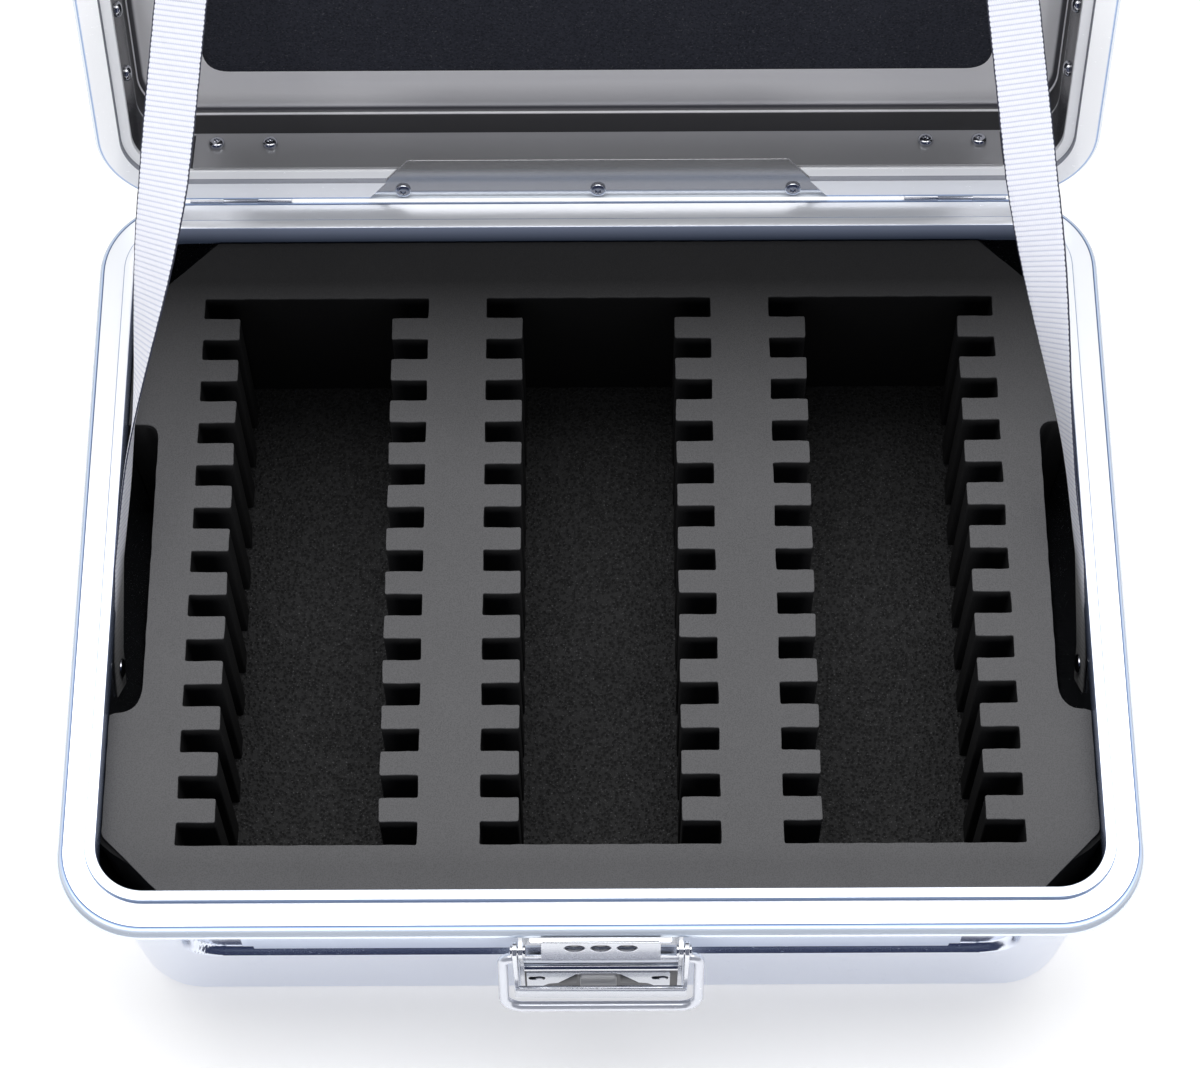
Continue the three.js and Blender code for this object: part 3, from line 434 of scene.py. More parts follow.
def stacked(outline: Points, inward: Points, height: Points, axes: tuple[int, int, int] = (0, 1, 2)) -> Points:
    """Rings of one outline, each moved inwards and laid at its own height.

    Args:
        outline: the outline, N by 2, anticlockwise.
        inward: how far in each ring lies.
        height: each ring's height.
        axes: which axis each of the outline's two numbers and the height goes to.

    Returns:
        Points, rings by N by 3.
    """
    rows = raised(np.stack([offset(outline, d) for d in inward]), height)
    grid = np.empty_like(rows)
    grid[..., list(axes)] = rows
    return grid


def slab(outline: Points, low: float, high: float, edge: float, axes: tuple[int, int, int],
         steps: int = 3) -> Solid:
    """A flat outline given a thickness, with both of its faces' edges rounded.

    Args:
        outline: the outline, N by 2, anticlockwise.
        low: where the slab starts along its third axis.
        high: where it ends.
        edge: the radius of the rounded edges.
        axes: which axis each of the outline's two numbers and the thickness goes to.
        steps: steps of the rounded edge.

    Returns:
        The solid.
    """
    return capped(stacked(outline, *edge_arcs(low, high, edge, steps), axes))


def pierced(name: str, loops: Sequence[Sequence[Points]]) -> Mesh:
    """A solid between an outside and its holes, each given as rings from the bottom to the top.

    The walls join each loop's rings, and the top and the bottom are filled between all of the end rings.

    Args:
        name: the mesh's name.
        loops: for each loop its rings, N by 3 each, the outside first.

    Returns:
        The mesh, in metres.
    """
    work = bmesh.new()
    ends: list[list[bmesh.types.BMEdge]] = [[], []]
    for rings in loops:
        rows = [[work.verts.new(point) for point in (np.asarray(ring) * MM).tolist()] for ring in rings]
        for below, above in zip(rows, rows[1:]):
            for k, vertex in enumerate(below):
                after = (k + 1) % len(below)
                work.faces.new((vertex, below[after], above[after], above[k]))
        for found, row in zip(ends, (rows[0], rows[-1])):
            found.extend(work.edges.get((a, b)) for a, b in zip(row, row[1:] + row[:1]))
    for edges in ends:
        bmesh.ops.triangle_fill(work, use_beauty=True, use_dissolve=False, edges=edges)
    bmesh.ops.recalc_face_normals(work, faces=work.faces[:])
    mesh = bpy.data.meshes.new(name)
    work.to_mesh(mesh)
    work.free()
    return mesh


def plate(name: str, outline: Points, holes: Sequence[Points], low: float, high: float, edge: float,
          axes: tuple[int, int, int]) -> Mesh:
    """A flat plate with holes through it and rounded edges.

    One more ring a little further in keeps each face's shading flat.

    Args:
        name: the mesh's name.
        outline: the outline, anticlockwise.
        holes: the holes' outlines, clockwise.
        low: where the plate starts along its third axis.
        high: where it ends.
        edge: the radius of its edges.
        axes: which axis each of the outlines' two numbers and the thickness goes to.

    Returns:
        The mesh, in metres.
    """
    inward, height = edge_arcs(low, high, edge)
    inward = np.concatenate([[edge * 1.4], inward, [edge * 1.4]])
    height = np.concatenate([[low], height, [high]])
    return pierced(name, [stacked(loop, inward, height, axes) for loop in (outline, *holes)])


def disc_outline(x: float, y: float, radius: float, steps: int = 28) -> Points:
    """A clockwise circle, for a hole."""
    turn = -np.linspace(0, 2 * math.pi, steps, endpoint=False)
    return np.stack([x + radius * np.cos(turn), y + radius * np.sin(turn)], axis=1)


def offset(outline: Points, distance: float) -> Points:
    """Moves an anticlockwise outline inwards: each point goes along its corner's bisector.

    Args:
        outline: the outline, N by 2.
        distance: how far its edges move.

    Returns:
        The moved outline.
    """
    before = outline - np.roll(outline, 1, axis=0)
    after = np.roll(outline, -1, axis=0) - outline
    before /= np.maximum(np.linalg.norm(before, axis=1, keepdims=True), 1e-9)
    after /= np.maximum(np.linalg.norm(after, axis=1, keepdims=True), 1e-9)
    normal_before = np.stack([-before[:, 1], before[:, 0]], axis=1)
    normal_after = np.stack([-after[:, 1], after[:, 0]], axis=1)
    bisector = normal_before + normal_after
    scale = np.maximum((bisector * normal_before).sum(axis=1, keepdims=True), 0.35)
    return outline + bisector / scale * distance


def anticlockwise(outline: Points) -> Points:
    """An outline that runs anticlockwise, where its shoelace sum is above zero."""
    after = np.roll(outline, -1, axis=0)
    return outline if (outline[:, 0] * after[:, 1] - outline[:, 1] * after[:, 0]).sum() > 0 else outline[::-1]


def box_outline(x0: float, x1: float, y0: float, y1: float, corner: float = 0.0, steps: int = 5) -> Points:
    """An anticlockwise rectangle, with rounded corners where a corner is given."""
    points = np.array([[x0, y0], [x1, y0], [x1, y1], [x0, y1]], dtype=float)
    return rounded(points, corner, steps) if corner > 0 else points


# Finishes


def group(name: str, inputs: Sequence[tuple[str, str, float | tuple[float, ...]]],
          outputs: Sequence[tuple[str, str]]) -> NodeTree:
    """Makes a shader node group with named sockets.

    Args:
        name: the group's name.
        inputs: name, socket type and default of each input.
        outputs: name and socket type of each output.

    Returns:
        The new group, with its input and output nodes in place.
    """
    tree = bpy.data.node_groups.new(name, "ShaderNodeTree")
    for label, kind, default in inputs:
        socket = tree.interface.new_socket(label, in_out="INPUT", socket_type=kind)
        socket.default_value = default
    for label, kind in outputs:
        tree.interface.new_socket(label, in_out="OUTPUT", socket_type=kind)
    tree.nodes.new("NodeGroupInput").name = "in"
    tree.nodes.new("NodeGroupOutput").name = "out"
    return tree


class Wires:
    """Short calls for adding and joining nodes in one tree."""

    def __init__(self, tree: bpy.types.NodeTree) -> None:
        """Keeps the tree that nodes are added to."""
        self.tree = tree

    def add(self, kind: str, **settings: object) -> Node:
        """Adds a node and sets its properties."""
        node = self.tree.nodes.new(kind)
        for key, value in settings.items():
            setattr(node, key, value)
        return node

    def join(self, source: Socket, target: Socket) -> None:
        """Joins an output to an input."""
        self.tree.links.new(source, target)

    def noise(self, vector: Socket, scale: float, detail: float = 3.0, roughness: float = 0.5) -> Socket:
        """A noise pattern's value over a vector."""
        node = self.add("ShaderNodeTexNoise")
        node.inputs["Scale"].default_value = scale
        node.inputs["Detail"].default_value = detail
        node.inputs["Roughness"].default_value = roughness
        self.join(vector, node.inputs["Vector"])
        return node.outputs["Fac"]

    def stretched(self, vector: Socket, scale: tuple[float, float, float]) -> Socket:
        """A vector with each axis scaled by its own amount."""
        node = self.add("ShaderNodeMapping", vector_type="POINT")
        node.inputs["Scale"].default_value = scale
        self.join(vector, node.inputs["Vector"])
        return node.outputs["Vector"]

    def ranged(self, value: Socket, low: float, high: float, to_low: float, to_high: float) -> Socket:
        """A value moved linearly from one range to another, and held at its ends."""
        node = self.add("ShaderNodeMapRange")
        node.inputs["From Min"].default_value = low
        node.inputs["From Max"].default_value = high
        node.inputs["To Min"].default_value = to_low
        node.inputs["To Max"].default_value = to_high
        self.join(value, node.inputs["Value"])
        return node.outputs["Result"]

    def math(self, operation: str, a: Socket | float, b: Socket | float = 0.0) -> Socket:
        """One sum on two values."""
        node = self.add("ShaderNodeMath", operation=operation)
        for socket, value in zip(node.inputs, (a, b)):
            if isinstance(value, Socket):
                self.join(value, socket)
            else:
                socket.default_value = value
        return node.outputs[0]

    def part(self, vector: Socket, number: int) -> Socket:
        """One of a vector's three numbers."""
        split = self.add("ShaderNodeSeparateXYZ")
        self.join(vector, split.inputs[0])
        return split.outputs[number]

    def dimmed(self, shader: Node, colour: Socket, share: Socket) -> None:
        """Gives a shader a colour scaled by a share."""
        scaled = self.add("ShaderNodeVectorMath", operation="SCALE")
        self.join(colour, scaled.inputs[0])
        self.join(share, scaled.inputs["Scale"])
        self.join(scaled.outputs[0], shader.inputs["Base Color"])

    def bumped(self, shader: Node, height: Socket, strength: float, distance: float) -> None:
        """Roughs a shader's surface by a height pattern; the distance is in metres."""
        bump = self.add("ShaderNodeBump")
        bump.inputs["Strength"].default_value = strength
        bump.inputs["Distance"].default_value = distance
        self.join(height, bump.inputs["Height"])
        self.join(bump.outputs["Normal"], shader.inputs["Normal"])

    def blend(self, share: Socket, a: Socket | tuple[float, ...], b: Socket | tuple[float, ...],
              kind: str = "MIX") -> Socket:
        """Two colours mixed by a share."""
        node = self.add("ShaderNodeMix", data_type="RGBA", blend_type=kind)
        self.join(share, node.inputs["Factor"])
        for label, value in (("A", a), ("B", b)):
            socket = next(s for s in node.inputs if s.name == label and s.type == "RGBA")
            if isinstance(value, Socket):
                self.join(value, socket)
            else:
                socket.default_value = value
        return next(s for s in node.outputs if s.type == "RGBA")


class Effects:
    """The node groups that several finishes share, each made once."""

    _made: dict[str, NodeTree] = {}

    @classmethod
    def get(cls, name: str) -> NodeTree:
        """The shared group of that name, made on its first use."""
        if name not in cls._made:
            cls._made[name] = getattr(cls, f"_{name}")()
        return cls._made[name]

    @staticmethod
    def _handling() -> NodeTree:
        """Wear from handling: faint smears, short hairline scratches and a slow unevenness of the sheet."""
        tree = group("handling", [("Vector", "NodeSocketVector", (0, 0, 0)), ("Colour", "NodeSocketColor",
                     (1, 1, 1, 1)), ("Roughness", "NodeSocketFloat", 0.2), ("Wear", "NodeSocketFloat", 0.5)],
                     [("Colour", "NodeSocketColor"), ("Roughness", "NodeSocketFloat"),
                      ("Height", "NodeSocketFloat")])
        w = Wires(tree)
        source = tree.nodes["in"].outputs
        sink = tree.nodes["out"].inputs
        smears = w.noise(source["Vector"], 9.0, 4.0, 0.6)
        grain = w.noise(w.stretched(source["Vector"], (40.0, 900.0, 900.0)), 1.0, 2.0)
        hairs = w.noise(w.stretched(source["Vector"], (300.0, 1400.0, 500.0)), 1.0, 4.0, 0.7)
        lines = w.ranged(hairs, 0.62, 0.70, 0.0, 1.0)
        rough = w.math("ADD", w.ranged(smears, 0.3, 0.8, -0.05, 0.09), w.math("MULTIPLY", lines, 0.12))
        rough = w.math("MULTIPLY", rough, source["Wear"])
        rough = w.math("ADD", rough, w.math("MULTIPLY", w.math("SUBTRACT", grain, 0.5), 0.05))
        w.join(w.math("ADD", rough, source["Roughness"]), sink["Roughness"])
        dull = w.math("MULTIPLY", w.ranged(smears, 0.55, 0.8, 0.0, 0.10), source["Wear"])
        w.join(w.blend(dull, source["Colour"], (0.55, 0.57, 0.62, 1.0)), sink["Colour"])
        slow = w.noise(source["Vector"], 6.0, 1.0)
        height = w.math("ADD", w.math("MULTIPLY", slow, 0.6), w.math("MULTIPLY", grain, 0.02))
        w.join(w.math("SUBTRACT", height, w.math("MULTIPLY", lines, 0.01)), sink["Height"])
        return tree

    @staticmethod
    def _cells() -> NodeTree:
        """The cells of cut foam: rounded pits of a given size, with lighter walls between them."""
        tree = group("cells", [("Vector", "NodeSocketVector", (0, 0, 0)), ("Dark", "NodeSocketColor",
                     (0.02, 0.02, 0.02, 1)), ("Light", "NodeSocketColor", (0.1, 0.1, 0.1, 1)),
                     ("Cells per metre", "NodeSocketFloat", 900.0), ("Patchiness", "NodeSocketFloat", 0.3),
                     ("Specks", "NodeSocketFloat", 0.0)],
                     [("Colour", "NodeSocketColor"), ("Height", "NodeSocketFloat")])
        w = Wires(tree)
        source = tree.nodes["in"].outputs
        sink = tree.nodes["out"].inputs
        cells = w.add("ShaderNodeTexVoronoi", feature="F1")
        w.join(source["Vector"], cells.inputs["Vector"])
        w.join(source["Cells per metre"], cells.inputs["Scale"])
        patches = w.noise(source["Vector"], 22.0, 5.0, 0.6)
        fine = w.noise(source["Vector"], 1500.0, 2.0)
        pits = w.ranged(cells.outputs["Distance"], 0.1, 0.6, 0.0, 1.0)
        share = w.math("ADD", w.math("MULTIPLY", pits, 0.55), w.math("MULTIPLY", fine, 0.3))
        uneven = w.math("MULTIPLY", w.math("SUBTRACT", patches, 0.5), source["Patchiness"])
        base = w.blend(w.math("ADD", share, uneven), source["Dark"], source["Light"])
        w.join(w.math("ADD", pits, w.math("MULTIPLY", fine, 0.35)), sink["Height"])
        specks = w.ranged(w.noise(source["Vector"], 900.0, 1.0), 0.66, 0.72, 0.0, 1.0)
        specks = w.math("MULTIPLY", specks, source["Specks"])
        w.join(w.blend(specks, base, (0.30, 0.30, 0.31, 1.0)), sink["Colour"])
        return tree

    @staticmethod
    def _webbing() -> NodeTree:
        """Woven webbing along a UV whose U runs across from 0 to 1 and whose V counts the cross ridges, with
        painted shade in the valleys between ridges and a painted shade line along both edges.
        """
        tree = group("webbing", [("UV", "NodeSocketVector", (0, 0, 0)), ("Yarn", "NodeSocketColor",
                     (0.9, 0.9, 0.95, 1)), ("Shade", "NodeSocketColor", (0.6, 0.62, 0.75, 1))],
                     [("Colour", "NodeSocketColor"), ("Height", "NodeSocketFloat")])
        w = Wires(tree)
        source = tree.nodes["in"].outputs
        sink = tree.nodes["out"].inputs
        u, v = w.part(source["UV"], 0), w.part(source["UV"], 1)
        ridge = w.math("ABSOLUTE", w.math("SINE", w.math("MULTIPLY", v, math.pi)))
        warp = w.math("ABSOLUTE", w.math("SINE", w.math("ADD", w.math("MULTIPLY", u, math.pi * 22.0),
                                                      w.math("MULTIPLY", w.math("FLOOR", v), math.pi / 2))))
        height = w.math("ADD", w.math("MULTIPLY", w.math("POWER", ridge, 0.6), 0.75),
                        w.math("MULTIPLY", warp, 0.25))
        beside = w.math("ABSOLUTE", w.math("SUBTRACT", u, 0.5))
        # painted shade line along both edges, scalloped by the ridges
        edge = w.ranged(w.math("ADD", beside, w.math("MULTIPLY", ridge, -0.012)), 0.464, 0.474, 0.0, 1.0)
        # painted shade in the valleys between the ridges
        shade = w.ranged(height, 0.25, 0.8, 1.0, 0.0)
        fibre = w.noise(source["UV"], 60.0, 3.0)
        shade = w.math("ADD", shade, w.ranged(fibre, 0.3, 0.7, -0.12, 0.12))
        woven = w.blend(shade, source["Yarn"], source["Shade"])
        w.join(w.blend(edge, woven, (0.02, 0.024, 0.05, 1.0)), sink["Colour"])
        w.join(height, sink["Height"])
        return tree


@dataclass(frozen=True)
class Finish:
    """A finish: a name, the record's material slot and the numbers of its shader."""

    name: str
    slot: str
    colour: Colour
    roughness: float = 0.25
    metallic: float = 1.0

    def material(self) -> bpy.types.Material:
        """The finish's material, made on its first use."""
        made = bpy.data.materials.get(self.name)
        if made is None:
            made = bpy.data.materials.new(self.name)
            made.use_nodes = True
            shader = made.node_tree.nodes["Principled BSDF"]
            shader.inputs["Metallic"].default_value = self.metallic
            self.wire(Wires(made.node_tree), shader)
        return made

    def rgba(self, share: float = 1.0) -> tuple[float, float, float, float]:
        """The finish's colour, made darker or lighter by a share."""
        return tuple(min(c * share, 1.0) for c in self.colour) + (1.0,)

    def wire(self, w: Wires, shader: Node) -> None:
        """Joins the finish's nodes to its shader."""
        raise NotImplementedError


@dataclass(frozen=True)
class Metal(Finish):
    """Polished or satin sheet, with wear from handling."""

    wear: float = 0.5
    bump: float = 0.05
    depth: float = 0.002

    def wire(self, w: Wires, shader: Node) -> None:
        """Colour, roughness and height come from the handling effect on Object coordinates."""
        effect = w.add("ShaderNodeGroup", node_tree=Effects.get("handling"))
        w.join(w.add("ShaderNodeTexCoord").outputs["Object"], effect.inputs["Vector"])
        effect.inputs["Colour"].default_value = self.rgba()
        effect.inputs["Roughness"].default_value = self.roughness
        effect.inputs["Wear"].default_value = self.wear
        w.join(effect.outputs["Colour"], shader.inputs["Base Color"])
        w.join(effect.outputs["Roughness"], shader.inputs["Roughness"])
        w.bumped(shader, effect.outputs["Height"], self.bump, self.depth)


@dataclass(frozen=True)
class Banded(Metal):
    """Metal whose tone changes across its section in bands of painted shade, painted reflections and painted
    highlight lines.

    The V of the UV map gives the place across the section, and each stop is a V with its share of the colour.
    """

    stops: tuple[tuple[float, float, float, float], ...] = ((0.0, 1.0, 1.0, 1.0),)

    def wire(self, w: Wires, shader: Node) -> None:
        """The metal's colour multiplied by a ramp over V, which paints the shade, reflection and highlight
        bands.
        """
        super().wire(w, shader)
        ramp = w.add("ShaderNodeValToRGB")
        points = ramp.color_ramp.elements
        for number, (at, *tint) in enumerate(self.stops):
            point = points[number] if number < 1 else points.new(at)
            point.position = at
            point.color = (*tint, 1.0)
        points.remove(points[len(points) - 1])
        w.join(w.part(w.add("ShaderNodeUVMap", uv_map="along").outputs["UV"], 1), ramp.inputs["Fac"])
        whole = w.add("ShaderNodeValue")
        whole.outputs[0].default_value = 1.0
        old = shader.inputs["Base Color"].links[0].from_socket
        w.join(w.blend(whole.outputs[0], old, ramp.outputs["Color"], "MULTIPLY"), shader.inputs["Base Color"])


@dataclass(frozen=True)
class Foam(Finish):
    """Cut foam with cells of a given size, with painted shade below its top edges and a painted shadow towards
    the rear where asked for.
    """

    metallic: float = 0.0
    gloss: float = 0.12
    cells_per_metre: float = 900.0
    patchiness: float = 0.3
    specks: float = 0.0
    dark_share: float = 0.35
    bump: float = 0.6
    depth: float = 0.0006
    # painted shade down the cut faces below lit_from, and a painted shadow towards the rear from rear_from on
    lit_from: float = -1.0
    lit_fade: float = 0.0012
    slot_shade_share: float = 0.2
    rear_from: float = 0.0
    rear_fade: float = 0.15
    rear_curve: float = 1.6
    rear_shadow_share: float = 1.0

    def shade(self, w: Wires, place_of: Socket) -> Socket:
        """How much of the colour is left: painted shade below the cut faces' top edges, and a painted shadow
        towards the rear.

        Args:
            w: the tree's wires.
            place_of: the Object coordinates.

        Returns:
            The share of the colour.
        """
        deep = w.ranged(w.part(place_of, 2), self.lit_from - self.lit_fade, self.lit_from, self.slot_shade_share, 1.0)
        rear = w.ranged(w.part(place_of, 1), self.rear_from, self.rear_from + self.rear_fade, 0.0, 1.0)
        fall = w.math("MULTIPLY", w.math("POWER", rear, self.rear_curve), 1.0 - self.rear_shadow_share)
        return w.math("MULTIPLY", deep, w.math("SUBTRACT", 1.0, fall))

    def wire(self, w: Wires, shader: Node) -> None:
        """Colour and height come from the cells effect on Object coordinates, and the colour is dimmed by the
        painted shade.
        """
        place_of = w.add("ShaderNodeTexCoord").outputs["Object"]
        effect = w.add("ShaderNodeGroup", node_tree=Effects.get("cells"))
        w.join(place_of, effect.inputs["Vector"])
        effect.inputs["Dark"].default_value = self.rgba(self.dark_share)
        effect.inputs["Light"].default_value = self.rgba()
        effect.inputs["Cells per metre"].default_value = self.cells_per_metre
        effect.inputs["Patchiness"].default_value = self.patchiness
        effect.inputs["Specks"].default_value = self.specks
        w.dimmed(shader, effect.outputs["Colour"], self.shade(w, place_of))
        shader.inputs["Roughness"].default_value = self.roughness
        shader.inputs["Specular IOR Level"].default_value = self.gloss
        w.bumped(shader, effect.outputs["Height"], self.bump, self.depth)


@dataclass(frozen=True)
class Webbing(Finish):
    """Woven strap webbing, along the strap's own UV map."""

    metallic: float = 0.0
    # painted shade: the colour of the weave's valleys
    shade: Colour = (0.62, 0.65, 0.80)
    # painted shade: below the frame's lip the strap's colour falls to this share, over these heights in metres
    foot_shade_share: float = 0.05
    foot_shade_fade: tuple[float, float] = (0.148, 0.168)
    sheen: float = 0.25
    bump: float = 0.7
    depth: float = 0.0006

    def wire(self, w: Wires, shader: Node) -> None:
        """Colour and height come from the webbing effect on the strap's UV map, and the colour fades to painted
        shade below the frame's lip.
        """
        effect = w.add("ShaderNodeGroup", node_tree=Effects.get("webbing"))
        w.join(w.add("ShaderNodeUVMap", uv_map="along").outputs["UV"], effect.inputs["UV"])
        effect.inputs["Yarn"].default_value = self.rgba()
        effect.inputs["Shade"].default_value = self.shade + (1.0,)
        height = w.part(w.add("ShaderNodeTexCoord").outputs["Object"], 2)
        w.dimmed(shader, effect.outputs["Colour"], w.ranged(height, *self.foot_shade_fade, self.foot_shade_share, 1.0))
        shader.inputs["Roughness"].default_value = self.roughness
        shader.inputs["Sheen Weight"].default_value = self.sheen
        w.bumped(shader, effect.outputs["Height"], self.bump, self.depth)


# painted reflections and painted shade: dark bands under the outer bead, a dark line at the lip's step, and an
# inner wall darkened downwards
ALUMINIUM = Banded("polished_aluminium", "aluminium", (0.91, 0.93, 0.97), 0.22, 0.55, wear=0.35, bump=0.04,
                   stops=((0.0, 0.86, 0.93, 1.0), (0.045, 0.90, 0.95, 1.0), (0.060, 0.66, 0.76, 0.92),
                          (0.073, 0.70, 0.80, 0.98), (0.082, 0.36, 0.46, 0.64), (0.091, 0.14, 0.21, 0.36),
                          (0.098, 0.05, 0.08, 0.16), (0.106, 0.05, 0.08, 0.16), (0.111, 1.0, 1.0, 1.0),
                          (0.486, 1.0, 1.0, 1.0), (0.494, 0.34, 0.44, 0.62), (0.512, 0.36, 0.44, 0.58),
                          (0.520, 1.0, 1.0, 1.0), (0.68, 1.0, 1.0, 1.0), (0.70, 0.55, 0.62, 0.8),
                          (0.80, 0.12, 0.15, 0.22)))
# painted reflections and painted shade: a dark band under the bead, a dark line at the recess's edge, and the
# lining skirt painted nearly black inside
LID_FRAME = Banded("lid_frame_aluminium", "aluminium", (0.95, 0.96, 0.98), 0.24, 0.15, wear=0.35, bump=0.04,
                   stops=((0.0, 0.86, 0.93, 1.0), (0.055, 0.93, 0.97, 1.0), (0.070, 0.30, 0.42, 0.66),
                          (0.094, 0.50, 0.62, 0.86), (0.106, 1.0, 1.0, 1.0), (0.476, 1.0, 1.0, 1.0),
                          (0.482, 0.30, 0.31, 0.34), (0.500, 0.30, 0.31, 0.34), (0.506, 1.0, 1.0, 1.0),
                          (0.69, 1.0, 1.0, 1.0), (0.745, 1.0, 1.0, 1.0), (0.755, 0.05, 0.05, 0.055),
                          (0.98, 0.04, 0.04, 0.045), (1.0, 0.9, 0.9, 0.92)))
PAN_METAL = Metal("pressed_aluminium", "aluminium", (0.75, 0.79, 0.89), 0.24, wear=0.35, bump=0.04)
STRIP_METAL = Metal("strip_aluminium", "aluminium", (0.60, 0.66, 0.79), 0.30, 0.12, wear=0.35, bump=0.04)
BAIL_METAL = Metal("bail_steel", "steel", (0.64, 0.66, 0.72), 0.24, 0.60, wear=0.3, bump=0.02)
# painted reflection and painted shade: the inner wall painted nearly black where it mirrors the dark pad, then
# a painted highlight line and a painted shade groove before the panel
LINING = Banded("lid_aluminium", "aluminium", (0.98, 0.97, 0.98), 0.34, 0.35, wear=0.4, bump=0.04,
                stops=((0.0, 0.02, 0.02, 0.022), (0.892, 0.03, 0.03, 0.032), (0.900, 0.85, 0.85, 0.86),
                       (0.914, 0.85, 0.85, 0.86), (0.922, 0.04, 0.04, 0.045), (0.955, 0.10, 0.10, 0.11),
                       (0.966, 0.9, 0.9, 0.91), (0.99, 1.0, 1.0, 1.0)))
LATCH_METAL = Metal("latch_aluminium", "aluminium", (0.72, 0.74, 0.79), 0.14, 0.85, wear=0.25, bump=0.015)
STEEL = Metal("bright_steel", "steel", (0.62, 0.63, 0.67), 0.12, wear=0.2, bump=0.015)
ZINC = Metal("hinge_zinc", "steel", (0.72, 0.73, 0.75), 0.32, wear=0.6, bump=0.08)
GREY_PLATE = Metal("grey_satin_plate", "grey_plate", (0.42, 0.42, 0.43), 0.34, 0.6, wear=0.3, bump=0.04)
COVER_PLATE = Metal("dark_gloss_plate", "grey_plate", (0.62, 0.62, 0.63), 0.16, 0.75, wear=0.3, bump=0.03)
# blackened metal on the lower plate and the window backing; on the catch's wings the same dark is painted shade
DARK_METAL_AND_SHADE = Metal("blackened_metal", "dark_metal", (0.06, 0.06, 0.065), 0.35, wear=0.3, bump=0.05)
# painted shade down the slot walls, and a painted shadow of the open lid over the rear
INSERT_FOAM = Foam("charcoal_insert_foam", "foam", (0.146, 0.145, 0.148), 0.85, cells_per_metre=1300.0,
                   dark_share=0.6, bump=0.35, depth=0.0003, lit_from=0.1546, slot_shade_share=0.16, rear_from=0.03,
                   rear_shadow_share=0.14)
# painted shade: the bay floor darkens towards the rear
FLOOR_FOAM = Foam("coarse_floor_foam", "foam_floor", (0.052, 0.052, 0.053), 0.9, cells_per_metre=520.0,
                  patchiness=0.4, dark_share=0.35, bump=0.9, depth=0.0012, rear_shadow_share=0.2, specks=0.35)
PAD_FOAM = Foam("speckled_pad", "pad", (0.030, 0.032, 0.042), 0.8, cells_per_metre=620.0, bump=0.5,
                specks=0.12)
WEBBING = Webbing("white_webbing", "webbing", (0.90, 0.91, 0.97), 0.75)


# The body and the lid


